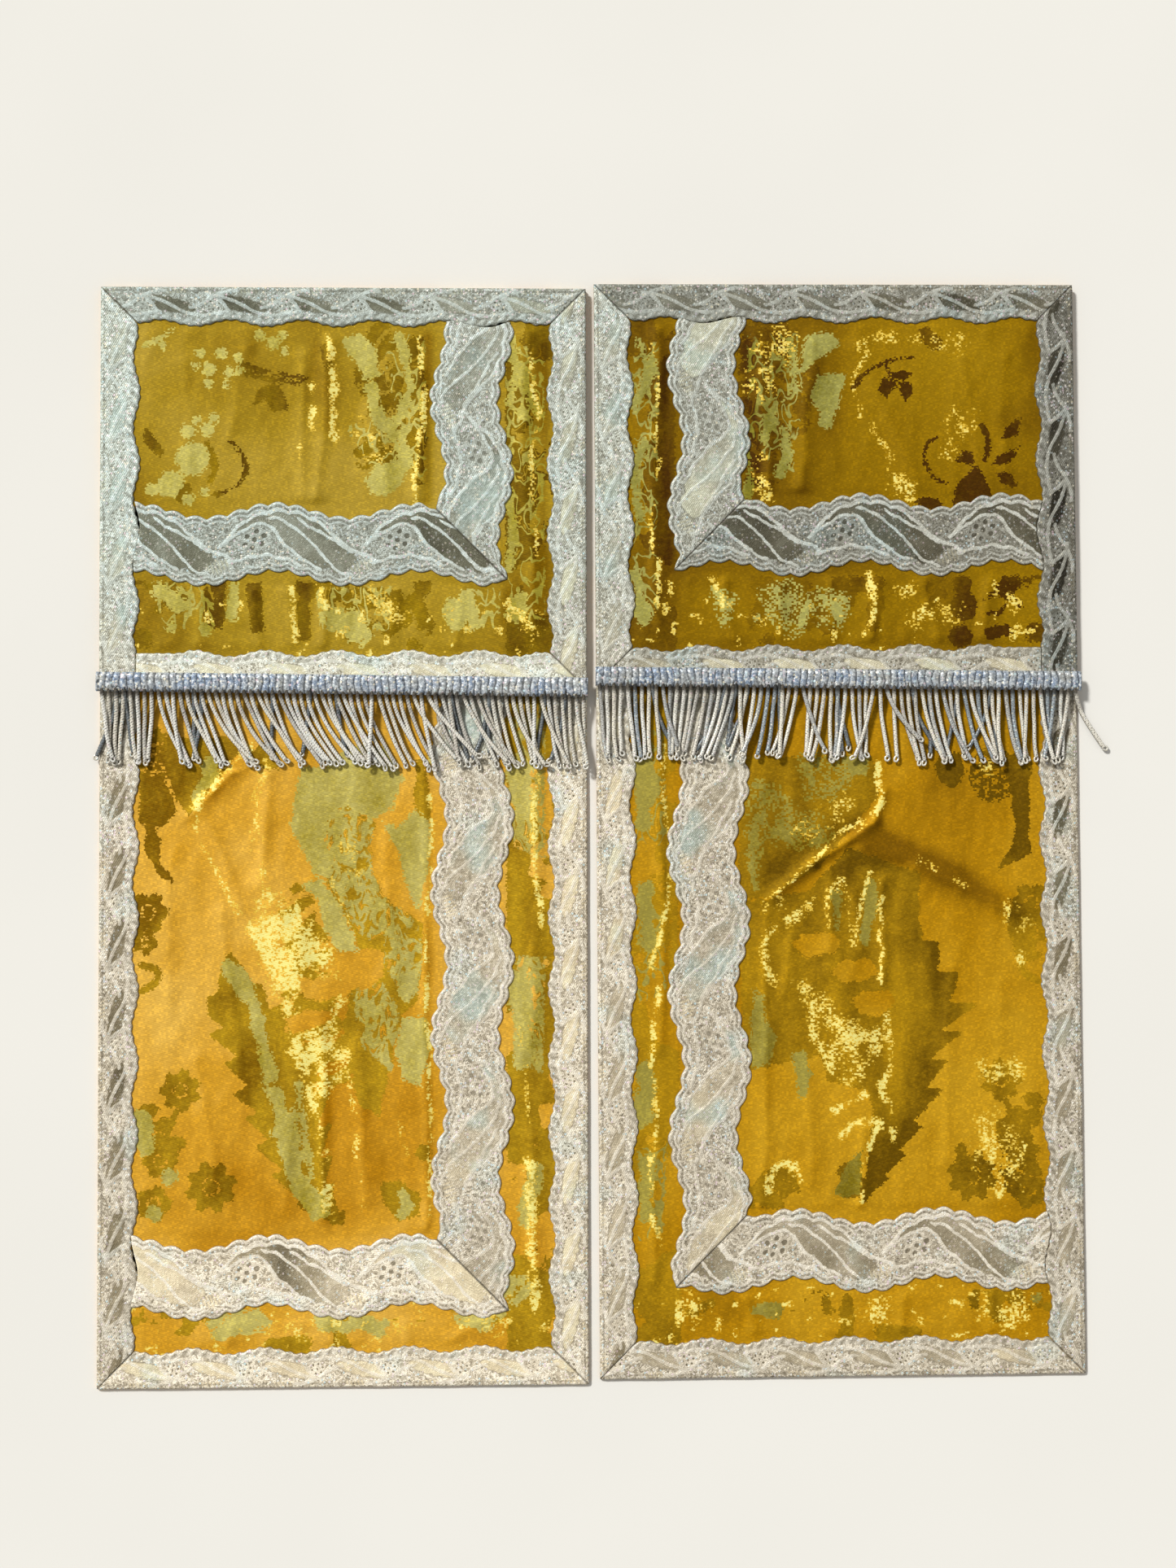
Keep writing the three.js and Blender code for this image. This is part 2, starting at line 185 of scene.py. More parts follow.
# Shader helpers: nodes are put in a tree by type, with their inputs given by name

def feed(tree, socket, value):
    if isinstance(value, bpy.types.NodeSocket):
        tree.links.new(value, socket)
    else:
        socket.default_value = value


def put(tree, kind, inputs={}, **props):
    node = tree.nodes.new(kind)
    for key, value in props.items():
        setattr(node, key, value)
    for key, value in inputs.items():
        feed(tree, node.inputs[key], value)
    return node


def sums(tree, operation, a, b=0.0, c=0.0, clamp=False):
    return put(tree, "ShaderNodeMath", {0: a, 1: b, 2: c}, operation=operation, use_clamp=clamp).outputs[0]


def times(tree, first, *others, clamp=False):
    for value in others:
        first = sums(tree, "MULTIPLY", first, value, clamp=clamp)
    return first


def ramped(tree, value, low, high, start=0.0, end=1.0):
    # value between low and high, eased to start..end
    inputs = {"Value": value, "From Min": low, "From Max": high, "To Min": start, "To Max": end}
    return put(tree, "ShaderNodeMapRange", inputs, interpolation_type="SMOOTHSTEP").outputs["Result"]


def blended(tree, factor, a, b, how="MIX"):
    node = put(tree, "ShaderNodeMix", data_type="RGBA", blend_type=how)
    for index, value in ((0, factor), (6, a), (7, b)):
        feed(tree, node.inputs[index], (*value, 1.0) if isinstance(value, tuple) else value)
    return node.outputs[2]


def tinted(tree, a, b, factor=1.0):
    return blended(tree, factor, a, b, "MULTIPLY")


def tone(r, g, b):
    # a display colour, 0 to 255, as the linear colour that nodes take
    return tuple((c / 255 / 12.92) if c < 11 else ((c / 255 + 0.055) / 1.055) ** 2.4 for c in (r, g, b))


def shaded(tree, factor, stops):
    # colour ramp; stops are (place, display colour)
    stops = list(stops)
    node = put(tree, "ShaderNodeValToRGB", {"Fac": factor})
    ramp = node.color_ramp
    while len(ramp.elements) < len(stops):
        ramp.elements.new(0.5)
    for element, (spot, colour) in zip(ramp.elements, stops):
        element.position = spot
        element.color = (*tone(*colour), 1)
    return node.outputs["Color"]


def attribute(tree, name):
    return put(tree, "ShaderNodeAttribute", attribute_name=name).outputs["Fac"]


def flatCoord(tree):
    return put(tree, "ShaderNodeUVMap", uv_map="flat").outputs["UV"]


def pieceCoord(tree):
    return put(tree, "ShaderNodeTexCoord").outputs["Object"]


def stretched(tree, coord, scale):
    return put(tree, "ShaderNodeMapping", {"Vector": coord, "Scale": scale}).outputs["Vector"]


def noise(tree, coord, scale, detail=2.0, rough=0.5, twist=0.0):
    inputs = {"Vector": coord, "Scale": scale, "Detail": detail, "Roughness": rough, "Distortion": twist}
    return put(tree, "ShaderNodeTexNoise", inputs).outputs["Fac"]


def nearTo(tree, value, middle, outer, inner):
    # 1 where a value is within inner of its middle, 0 beyond outer
    return ramped(tree, sums(tree, "ABSOLUTE", sums(tree, "SUBTRACT", value, middle)), outer, inner)


def newGroup(name, inputs, outputs):
    group = bpy.data.node_groups.new(name, "ShaderNodeTree")
    for label, kind, value in inputs:
        socket = group.interface.new_socket(label, in_out="INPUT", socket_type=kind)
        if value is not None:
            socket.default_value = value
    for label, kind in outputs:
        group.interface.new_socket(label, in_out="OUTPUT", socket_type=kind)
    return group, group.nodes.new("NodeGroupInput").outputs, group.nodes.new("NodeGroupOutput").inputs


def place(tree, group, inputs={}):
    node = tree.nodes.new("ShaderNodeGroup")
    node.node_tree = group
    for key, value in inputs.items():
        feed(tree, node.inputs[key], value)
    return node.outputs


def newMaterial(name):
    material = bpy.data.materials.new(name)
    material.use_nodes = True
    tree = material.node_tree
    shader = next(n for n in tree.nodes if n.type == "BSDF_PRINCIPLED")
    return material, tree, shader


def finishWith(tree, shader, base, rough, metal, height, depth, strength=0.6):
    for value, socket in ((base, "Base Color"), (rough, "Roughness"), (metal, "Metallic")):
        feed(tree, shader.inputs[socket], value)
    bump = put(tree, "ShaderNodeBump", {"Height": height, "Strength": strength, "Distance": depth})
    tree.links.new(bump.outputs["Normal"], shader.inputs["Normal"])


# Effects that several finishes share

coordInput = ("Coord", "NodeSocketVector", None)

# fine slanted threads: Height for the bump and Shade for the colour
threadsGroup, given, made = newGroup(
    "metalThreads",
    [coordInput, ("Pitch", "NodeSocketFloat", 0.0008), ("Slant", "NodeSocketVector", (0.8, 0.6, 0.0))],
    [("Height", "NodeSocketFloat"), ("Shade", "NodeSocketFloat")],
)
slanted = {0: given["Coord"], 1: given["Slant"]}
along = put(threadsGroup, "ShaderNodeVectorMath", slanted, operation="DOT_PRODUCT").outputs["Value"]
turns = times(threadsGroup, sums(threadsGroup, "DIVIDE", along, given["Pitch"]), tau)
wave = sums(threadsGroup, "MULTIPLY_ADD", sums(threadsGroup, "SINE", turns), 0.5, 0.5)
uneven = noise(threadsGroup, given["Coord"], 700.0)
worn = times(threadsGroup, wave, ramped(threadsGroup, uneven, 0.25, 0.7, 0.5, 1.0))
threadsGroup.links.new(wave, made["Height"])
threadsGroup.links.new(worn, made["Shade"])

# glints: small random flecks that catch the light, with the faint tints of metal foil
foilTints = [
    (0.0, (255, 244, 208)), (0.4, (255, 252, 242)), (0.66, (206, 236, 238)), (0.84, (246, 216, 222)),
    (1.0, (255, 248, 230)),
]
glintsGroup, given, made = newGroup(
    "foilGlints",
    [coordInput, ("Scale", "NodeSocketFloat", 900.0), ("Amount", "NodeSocketFloat", 0.2)],
    [("Mask", "NodeSocketFloat"), ("Tint", "NodeSocketColor")],
)
scaled = {"Vector": given["Coord"], "Scale": given["Scale"]}
flecks = put(glintsGroup, "ShaderNodeTexVoronoi", scaled).outputs
parts = put(glintsGroup, "ShaderNodeSeparateColor", {"Color": flecks["Color"]}).outputs
chosen = sums(glintsGroup, "GREATER_THAN", given["Amount"], parts["Red"])
fleckMask = times(glintsGroup, chosen, ramped(glintsGroup, flecks["Distance"], 0.65, 0.3))
glintsGroup.links.new(fleckMask, made["Mask"])
glintsGroup.links.new(shaded(glintsGroup, parts["Green"], foilTints), made["Tint"])

# stitches: one random value for each small cell of the weave
stitchGroup, given, made = newGroup(
    "singleStitches",
    [coordInput, ("Cell", "NodeSocketVector", (0.001, 0.001, 1.0))],
    [("Value", "NodeSocketFloat")],
)
snapped = {0: given["Coord"], 1: given["Cell"]}
cells = put(stitchGroup, "ShaderNodeVectorMath", snapped, operation="SNAP").outputs["Vector"]
drawn = put(stitchGroup, "ShaderNodeTexWhiteNoise", {"Vector": cells}, noise_dimensions="3D").outputs["Value"]
stitchGroup.links.new(drawn, made["Value"])
print("shared effects made")

# Brocade cloths

cloth = dict(
    cell=1.75, hiddenCell=14.0, thick=1.5, ramp=6.0, tuck=2.0, bandTuck=3.0, hide=4.0, foldGain=1.05,
    heldFrom=50.0, heldRise=0.9, lightGain=0.6, glitterHeight=56.0,
)
border = dict(width=22.5, wave=2.0, period=44.0, settle=12.0, cell=1.0, mitreGap=0.08, phase=12.0)
band = dict(
    width=44.0, wave=4.5, period=88.0, scallop=88.0 / 7, dip=2.4, settle=12.0, cell=1.0, mitreGap=0.06,
    endGap=0.1, phase=13.0,
)
galloon = dict(thick=1.0, hiddenStep=9.0, hiddenRelief=0.1, hide=3.0, seamSlope=0.7, noSeam=9.0)
rimReach = border["width"] + border["wave"]
bandReach = band["width"] / 2 + band["wave"]

# ridges of the cloth: from x, from y, to x, to y, half width, rise
folds = {
    "left_veil": [
        (206, 390, 245, 349, 5, 2.0), (237, 350, 212, 294, 6, 1.5), (197, 375, 200, 307, 7, 1.4),
        (197, 304, 162, 234, 15, 2.2), (164, 219, 161, 103, 4.5, 1.8), (101, 390, 99, 98, 4, 1.2),
        (141, 204, 139, 113, 6, 1.2), (33, 380, 31, 304, 5, 1.5), (31, 290, 36, 210, 5, 1.3),
        (36, 150, 33, 60, 5, 1.5), (163, 44, 158, 26, 5, 1.1), (60, 42, 84, 28, 6, 1.0),
        (225, 290, 214, 200, 5, 0.9), (180, 170, 188, 110, 6, 1.0), (255, 330, 258, 240, 6, 0.8),
        (125, 330, 118, 250, 6, 0.9), (240, 200, 228, 120, 6, 0.8), (215, 42, 219, 27, 5, 0.9),
        (112, 42, 108, 27, 5, 0.8),
    ],
    "right_veil": [
        (178, 360, 172, 341, 4.5, 1.6), (172, 341, 134, 316, 4, 2.2), (134, 316, 107, 294, 4.5, 2.2),
        (166, 328, 262, 283, 8, 1.8), (145, 311, 145, 262, 3.5, 1.0), (160, 298, 163, 262, 3.5, 0.9),
        (176, 305, 178, 243, 4, 1.4), (143, 248, 178, 147, 14, 2.0), (164, 152, 162, 102, 4, 1.4),
        (104, 285, 102, 105, 4, 1.2), (37, 384, 43, 298, 5, 1.5), (43, 290, 38, 200, 5, 1.3),
        (35, 160, 32, 60, 5, 1.5), (190, 50, 186, 28, 5, 1.1), (120, 270, 117, 235, 4, 1.0),
        (220, 250, 214, 130, 6, 0.9), (250, 240, 246, 170, 6, 0.8), (128, 190, 132, 120, 5, 0.9),
        (90, 48, 94, 28, 5, 1.0), (240, 50, 243, 28, 5, 0.8),
    ],
    "left_valance": [
        (158, 642, 167, 544, 6, 1.8), (174, 634, 175, 549, 4, 1.0), (102, 625, 104, 539, 4, 1.3),
        (133, 600, 121, 554, 7, 1.2), (35, 648, 40, 594, 5, 1.4), (40, 594, 31, 463, 5, 1.4),
        (206, 488, 204, 454, 4, 1.2), (161, 488, 164, 454, 4, 1.2), (78, 486, 80, 454, 4, 1.0),
        (210, 640, 222, 580, 6, 0.7), (248, 630, 244, 560, 6, 0.8), (238, 486, 240, 456, 4, 0.8),
        (118, 486, 121, 456, 4, 0.8), (186, 486, 183, 456, 4, 0.8),
    ],
    "right_valance": [
        (135, 640, 130, 551, 8, 1.7), (105, 637, 108, 546, 4, 1.3), (165, 637, 200, 556, 8, 1.1),
        (41, 648, 36, 580, 5, 1.4), (36, 580, 39, 461, 5, 1.4), (80, 492, 84, 456, 4, 1.1),
        (175, 492, 172, 456, 4, 1.2), (206, 490, 212, 456, 4, 1.0), (232, 630, 240, 560, 6, 0.8),
        (258, 632, 255, 560, 5, 0.7), (118, 490, 116, 456, 4, 0.8), (146, 490, 148, 456, 4, 0.8),
        (245, 490, 242, 456, 4, 0.8),
    ],
}

# where the metal threads flash: strength, half width, run of places; a half width of 0 outlines an area
flashes = {
    "left_veil": [
        (1.0, 3.5, [(208, 392), (224, 376), (243, 352)]),
        (0.6, 2.5, [(243, 352), (235, 326), (224, 306), (214, 288)]),
        (0.5, 5, [(198, 388), (204, 345), (200, 308)]),
        (1.35, 0, [(186, 226), (192, 230), (206, 280), (201, 300), (190, 303), (182, 298), (154, 262),
            (156, 254), (174, 250), (180, 244)]),
        (0.95, 0, [(160, 176), (172, 180), (186, 210), (186, 226), (176, 232), (160, 226), (150, 216),
            (146, 200)]),
        (0.95, 4, [(172, 194), (168, 165), (162, 135), (159, 104)]),
        (0.65, 2.5, [(148, 216), (147, 190), (142, 150), (138, 108)]), (0.8, 3, [(158, 310), (146, 284)]),
        (0.8, 4, [(162, 252), (150, 252)]), (0.7, 5, [(152, 236), (160, 222)]),
        (0.95, 1.8, [(98, 392), (96.5, 345), (98, 300), (100, 240), (97, 180), (98, 104)]),
        (0.45, 2.5, [(116, 160), (110, 134)]), (0.9, 2.5, [(30, 388), (33, 333), (27, 268)]),
        (0.95, 4, [(36, 137), (33, 47)]), (0.5, 2, [(41, 218), (36, 157)]), (0.7, 9, [(60, 36)]),
        (0.5, 8, [(196, 36), (178, 34)]), (0.45, 8, [(150, 330), (140, 315)]),
        (0.4, 7, [(120, 36), (100, 38)]),
    ],
    "right_veil": [
        (0.85, 2.8, [(174, 377), (177, 360), (172, 347), (160, 340)]),
        (0.9, 1.7, [(160, 340), (150, 333), (135, 318), (115, 300), (104, 292)]),
        (0.75, 4, [(150, 305), (130, 288), (112, 276), (104, 262), (108, 242)]),
        (0.95, 1.8, [(143, 272), (143, 294), (150, 307), (155, 290), (158, 268)]),
        (0.95, 1.8, [(160, 265), (163, 290), (171, 310), (176, 300), (175, 270), (176, 240)]),
        (0.66, 0, [(116, 242), (128, 245), (156, 219), (168, 221), (180, 216), (178, 200), (158, 176),
            (148, 182), (140, 194)]),
        (0.9, 3, [(132, 216), (138, 200), (150, 182)]),
        (0.9, 2.6, [(180, 222), (180, 190), (174, 178), (181, 164), (181, 144)]),
        (0.85, 3, [(146, 163), (164, 173)]), (0.85, 3.5, [(150, 147), (163, 156), (176, 154)]),
        (0.95, 2, [(172, 152), (163, 130), (162, 106)]), (0.95, 7, [(110, 292)]),
        (0.9, 7, [(258, 286), (264, 276)]), (0.7, 5, [(262, 256)]), (0.6, 10, [(240, 186), (256, 186)]),
        (0.55, 17, [(244, 150), (250, 120)]), (0.9, 2.2, [(248, 108), (258, 128), (264, 140)]),
        (0.9, 3, [(104, 114), (108, 127), (118, 130), (123, 121)]), (0.42, 12, [(158, 352), (130, 334)]),
        (0.6, 8, [(246, 376)]), (0.5, 4, [(200, 318), (230, 300)]),
        (0.9, 2, [(41, 390), (42, 350), (45, 312), (40, 282), (34, 252)]),
        (0.8, 2.2, [(38, 240), (33, 200), (36, 160), (31, 111), (39, 80)]), (0.9, 11, [(52, 42)]),
        (0.7, 13, [(170, 40)]), (0.8, 16, [(250, 42)]),
    ],
    "left_valance": [
        (1.0, 3, [(160, 645), (155, 620), (157, 600), (155, 582)]), (0.95, 2.5, [(170, 616), (169, 588)]),
        (0.5, 2.5, [(176, 578), (176, 548)]), (1.0, 2.2, [(104, 646), (101, 600), (106, 565), (107, 540)]),
        (0.5, 9, [(140, 590), (128, 572)]), (0.8, 2, [(36, 646), (30, 600), (34, 560), (30, 510)]),
        (1.0, 2.5, [(182, 490), (180, 458)]), (0.7, 3, [(165, 492), (160, 476)]),
        (0.6, 9, [(136, 486), (118, 472)]), (0.8, 3, [(48, 480), (38, 470), (28, 458)]),
        (0.4, 6, [(240, 598)]),
    ],
    "right_valance": [
        (0.55, 14, [(116, 642), (104, 616)]), (0.9, 2.5, [(172, 634), (162, 616), (166, 594)]),
        (0.6, 6, [(186, 644), (168, 640)]), (0.6, 8, [(102, 565), (106, 545)]),
        (0.6, 0, [(219, 564), (218, 598), (228, 602), (240, 596), (240, 588), (230, 580), (226, 566)]),
        (0.5, 10, [(226, 640), (205, 640)]), (0.65, 8, [(186, 556), (198, 544)]),
        (0.45, 3, [(172, 592), (190, 560)]),
        (0.85, 1.7, [(36, 640), (40, 610), (38, 580), (40, 555), (35, 525), (39, 500), (38, 470)]),
        (1.0, 2.5, [(46, 490), (44, 472)]), (0.8, 2.5, [(72, 494), (79, 476)]),
        (1.0, 2.5, [(171, 496), (173, 474), (168, 458)]), (0.6, 8, [(194, 484)]),
        (0.65, 6, [(252, 488), (262, 474)]), (0.45, 10, [(200, 466), (222, 470)]), (0.6, 6, [(66, 466)]),
    ],
}

# pale sage patches of the weave: half width, run of places; 0 outlines an area, -1 a brushed one
sagePlaces = {
    "left_veil": [
        (0, [(125, 392), (113, 372), (121, 354), (134, 346), (149, 355), (160, 348), (162, 333),
            (155, 322), (158, 310), (168, 314), (184, 344), (176, 380), (162, 378), (149, 392)]),
        (0, [(104, 290), (112, 307), (115, 325), (128, 346), (117, 342), (106, 354), (97, 346), (97, 325)]),
        (0, [(140, 265), (153, 265), (162, 279), (166, 297), (175, 307), (164, 309), (153, 294)]),
        (0, [(102, 181), (113, 187), (119, 202), (115, 224), (100, 226), (98, 209)]),
        (0, [(115, 250), (106, 254), (104, 241), (112, 234), (116, 239)]),
        (5, [(221, 257), (213, 248), (205, 231), (198.5, 208), (194, 188)]),
        (6.5, [(192, 180), (187, 160), (182, 140), (177, 122), (166, 107)]),
        (2.2, [(178, 184), (174, 155), (170, 128)]), (2, [(181, 170), (178, 150)]),
        (6, [(272, 164), (272, 146)]), (5, [(256, 128)]), (5, [(266, 106)]), (4, [(230, 384), (240, 362)]),
        (5, [(112, 114), (114, 106)]), (7, [(43, 372), (40, 350)]), (6, [(43, 250), (38, 200)]),
        (5, [(34, 130), (40, 100)]), (8, [(226, 38), (200, 40)]), (6, [(160, 38), (128, 36)]),
        (9, [(70, 42), (44, 60)]),
    ],
    "right_veil": [
        (-1, [(96, 366), (112, 362), (124, 348), (126, 326), (104, 332), (98, 312), (94, 318)]),
        (-1, [(122, 348), (138, 344), (146, 332), (134, 326), (124, 334)]),
        (-1, [(126, 382), (154, 382), (156, 366), (146, 356), (132, 358)]),
        (0, [(156, 382), (170, 382), (168, 370), (160, 370), (156, 374)]),
        (2.2, [(98, 340), (96, 318), (98, 300)]), (2.4, [(148, 296), (149, 276)]),
        (3.2, [(170, 302), (168, 284), (166, 266)]),
        (0, [(96, 189), (94, 205), (97, 238), (103, 234), (102, 220), (110, 208), (106, 193)]),
        (0, [(121, 198), (128, 199), (132, 186), (130, 172), (124, 170)]),
        (0, [(163, 140), (160, 112), (152, 108), (144, 113), (150, 118), (151, 127)]),
        (6, [(30, 384), (29, 340)]), (5, [(30, 300), (32, 268)]), (5, [(30, 190), (28, 160)]),
        (5, [(30, 130), (28, 100)]), (4, [(110, 40), (96, 42)]), (3, [(270, 46)]),
    ],
    "left_valance": [
        (3.4, [(239, 636)]), (3.4, [(226, 636)]), (4.2, [(233, 626)]), (3.4, [(221, 624)]),
        (2.8, [(215, 633)]), (2.8, [(234, 617)]), (2.6, [(214, 625)]), (2.4, [(222, 616)]),
        (2.6, [(242, 628)]), (3, [(202, 647)]), (3.6, [(194, 642)]), (2.6, [(187, 637)]),
        (2.6, [(188, 647)]), (2, [(273, 640), (264, 645), (256, 650)]), (2.4, [(262, 640)]),
        (10.5, [(243, 570)]), (4.5, [(246, 587)]), (4.5, [(234, 588)]), (3, [(230, 595)]),
        (2.6, [(241, 594)]), (8.5, [(257, 554)]), (3.6, [(268, 551)]), (4, [(246, 545)]), (3, [(236, 550)]),
        (0, [(153, 646), (140, 649), (130, 640), (127, 622), (137, 619)]), (3.5, [(133, 614), (131, 602)]),
        (4.5, [(129, 598), (120, 586)]), (3.2, [(116, 648), (113, 634), (110, 620)]),
        (2.5, [(108, 616), (112, 606), (118, 590)]), (4, [(114, 586), (112, 568)]),
        (0, [(114, 572), (122, 567), (130, 567), (137, 556), (133, 549), (124, 547), (116, 552),
            (110, 562)]),
        (6, [(262, 488), (250, 478)]), (3.5, [(256, 466)]), (3, [(217, 490), (219, 474)]),
        (4, [(235, 464)]), (8, [(152, 472), (144, 464)]), (5, [(84, 478), (80, 466)]),
        (5, [(74, 484), (70, 468)]), (0, [(52, 472), (46, 484), (38, 488), (36, 478), (42, 466)]),
        (2.2, [(48, 646), (43, 625), (47, 605)]), (2.2, [(40, 628), (34, 606), (29, 598)]),
        (2.5, [(48, 575), (50, 548), (45, 528), (49, 500)]),
    ],
    "right_valance": [
        (0, [(128, 620), (132, 646), (148, 648), (154, 640)]),
        (0, [(158, 621), (147, 586), (140, 588), (142, 598), (134, 604), (138, 620)]),
        (2, [(122, 642), (125, 620), (118, 604)]), (1.8, [(112, 632), (122, 624), (126, 610)]),
        (3.5, [(118, 586), (120, 572), (116, 558)]), (2, [(92, 592), (96, 566), (95, 544)]),
        (3, [(110, 592), (106, 580)]), (2.6, [(113, 486)]), (2.2, [(132, 482), (128, 464)]),
        (2.6, [(148, 478), (152, 466)]), (2.2, [(100, 468)]), (2.6, [(28, 642), (33, 620), (25, 600)]),
        (2.6, [(31, 578), (24, 556), (28, 530)]), (4, [(25, 494), (30, 468)]),
        (2.4, [(34, 632), (38, 622)]), (-1, [(104, 484), (122, 490), (136, 474), (124, 458), (110, 468)]),
        (-1, [(138, 486), (156, 480), (152, 462), (140, 466)]), (-1, [(72, 486), (86, 480), (80, 464)]),
    ],
}

# patches of olive figure in the same way
olivePlaces = {
    "left_veil": [
        (0, [(214, 389), (245, 349), (252, 358), (262, 384), (262, 398), (222, 398)]),
        (0, [(276, 376), (262, 374), (252, 352), (262, 342), (276, 344)]), (5, [(269, 346), (267, 326)]),
        (2.6, [(267, 326), (263, 316), (256, 309)]), (6, [(200, 388), (194, 384)]),
        (12, [(180, 290), (170, 262)]), (17, [(172, 226), (160, 200)]),
        (0, [(128, 166), (140, 170), (151, 221), (145, 241), (125, 250), (126, 265), (140, 267),
            (160, 309), (156, 322), (164, 354), (147, 357), (131, 344), (133, 314), (125, 299),
            (102, 282), (104, 236), (115, 226)]),
        (0, [(103, 104), (116, 101), (126, 112), (127, 124), (117, 125), (104, 118)]), (5, [(101, 142)]),
        (4, [(104, 380), (100, 350)]),
    ],
    "right_veil": [
        (0, [(88, 382), (172, 382), (176, 358), (136, 312), (106, 294), (88, 294)]),
        (0, [(156, 326), (200, 309), (200, 173), (192, 151), (164, 113), (170, 165), (166, 175),
            (142, 181), (136, 197), (90, 187), (88, 292), (132, 298)]),
        (0, [(222, 362), (214, 366), (211, 377), (214, 384), (226, 384), (231, 372)]),
        (0, [(270, 384), (270, 322), (249, 311), (259, 326), (261, 340), (254, 382)]),
        (12, [(112, 120), (102, 112)]), (6, [(150, 124), (160, 116)]), (7, [(262, 284), (264, 262)]),
        (4, [(224, 138), (226, 120)]), (10, [(258, 150), (262, 120)]),
    ],
    "left_valance": [
        (1.3, [(213, 629), (196, 624), (174, 620)]), (1.2, [(210, 623), (196, 620), (178, 617)]),
        (0, [(208, 602), (204, 612), (196, 617), (197, 611), (202, 604)]),
        (0, [(195, 616), (190, 615), (184, 602), (194, 600), (199, 608)]),
        (1.5, [(220, 581), (212.5, 572), (211, 563), (216, 553), (229, 548)]), (2.2, [(229, 548)]),
        (0, [(274, 591), (268, 588), (261, 574), (263, 571), (274, 580)]),
        (2, [(234, 580), (230, 566), (232, 556)]), (4, [(252, 548), (248, 552)]),
        (11, [(128, 644), (126, 612), (122, 596)]),
        (0, [(164, 642), (158, 642), (157, 628), (161, 624), (164, 630)]), (5, [(106, 642), (104, 560)]),
        (9, [(134, 574), (112, 578)]),
        (0, [(236, 494), (224, 494), (223, 472), (226, 464), (233, 466), (236, 474)]),
        (0, [(211, 494), (200, 494), (200, 464), (206, 462)]), (4, [(175, 490), (175, 462)]),
        (12, [(140, 480), (122, 470)]), (8, [(252, 482)]), (5, [(118, 484), (112, 470)]),
    ],
    "right_valance": [
        (1.2, [(162, 612), (169, 621), (184, 629), (200, 631)]),
        (0, [(177, 611), (181, 619), (186, 614), (183, 606)]),
        (0, [(186, 621), (192, 625), (199, 621), (192, 616)]),
        (0, [(191, 614), (196, 616), (200, 608), (194, 605)]), (1.2, [(182, 626), (188, 614)]),
        (1.0, [(220, 551.5), (211, 556), (205.5, 568), (208, 577), (214, 581)]),
        (0, [(223, 539), (226, 552), (238, 563), (247.5, 548), (247, 539)]),
        (0, [(247, 563), (252, 569), (266, 576), (260, 565)]),
        (0, [(253, 579), (257, 588), (266, 593), (264, 582)]),
        (0, [(249, 560), (258, 559), (265, 550), (254, 551)]),
        (0, [(226, 566), (230, 573), (237, 571), (236, 564)]), (1.8, [(243, 588), (246, 577), (244, 567)]),
        (0, [(199, 541), (206, 544), (214, 543), (218, 536), (206, 535)]),
        (16, [(106, 640), (104, 606), (106, 566)]), (8, [(130, 620), (128, 590)]), (9, [(230, 475)]),
        (0, [(240, 478), (252, 490), (264, 494), (256, 483)]),
        (0, [(241, 471), (254, 475), (260, 482), (252, 467)]), (7, [(227, 456)]),
        (3.5, [(246, 458), (256, 460)]), (3, [(208, 488), (216, 494)]), (12, [(120, 482), (136, 468)]),
        (4, [(176, 490), (172, 464)]), (3, [(216, 484), (208, 476)]), (4, [(214, 640), (208, 646)]),
    ],
}

# outlined areas with fine veins
veinPlaces = {
    "left_veil": [
        [(162, 352), (147, 355), (132, 346), (133, 314), (121, 292), (125, 277), (134, 273), (141, 277),
            (160, 309), (156, 322), (162, 333)],
        [(125, 295), (115, 292), (103, 280), (102, 258), (106, 239), (113, 234), (125, 258)],
        [(121, 191), (140, 209), (145, 241), (126, 247), (117, 230), (116, 209)],
        [(26, 418), (46, 418), (46, 330), (26, 322)], [(26, 262), (44, 262), (46, 200), (28, 190)],
    ],
    "right_veil": [
        [(24, 398), (42, 398), (44, 330), (24, 322)], [(24, 284), (40, 290), (42, 236), (24, 230)],
        [(24, 140), (42, 146), (40, 90), (24, 84)],
    ],
    "left_valance": [
        [(150, 591), (121, 594), (113, 570), (133, 565)],
        [(99, 554), (112, 566), (117, 605), (126, 621), (121, 648), (100, 648)],
        [(26, 640), (50, 640), (48, 470), (26, 470)], [(268, 494), (231, 494), (229, 466), (260, 464)],
        [(168, 490), (121, 491), (121, 464), (164, 464)], [(85, 487), (54, 490), (54, 462), (78, 464)],
    ],
    "right_valance": [
        [(96, 645), (128, 646), (130, 604), (123, 557), (111, 561), (96, 584)],
        [(24, 640), (40, 640), (38, 470), (24, 470)],
    ],
}

# outlined windows where the plain ground shows
windows = {
    "left_veil": [
        [(126, 264), (125, 251), (138, 241), (152, 250), (155, 263)],
        [(177, 246), (166, 249), (154, 246), (153, 239), (164, 235), (174, 237)],
        [(186, 224), (175, 230), (160, 230), (157, 224), (181, 215)],
        [(117, 299), (126, 303), (132, 314), (134, 331), (131, 342), (126, 340), (115, 313)],
    ],
    "right_veil": [
        [(120, 266), (126, 271), (144, 273), (152, 267), (146, 260), (130, 257)],
        [(143, 248), (152, 255), (170, 256), (175, 248), (166, 243), (152, 242)],
        [(156, 231), (166, 237), (180, 236), (185, 229), (174, 220), (162, 223)],
    ],
}

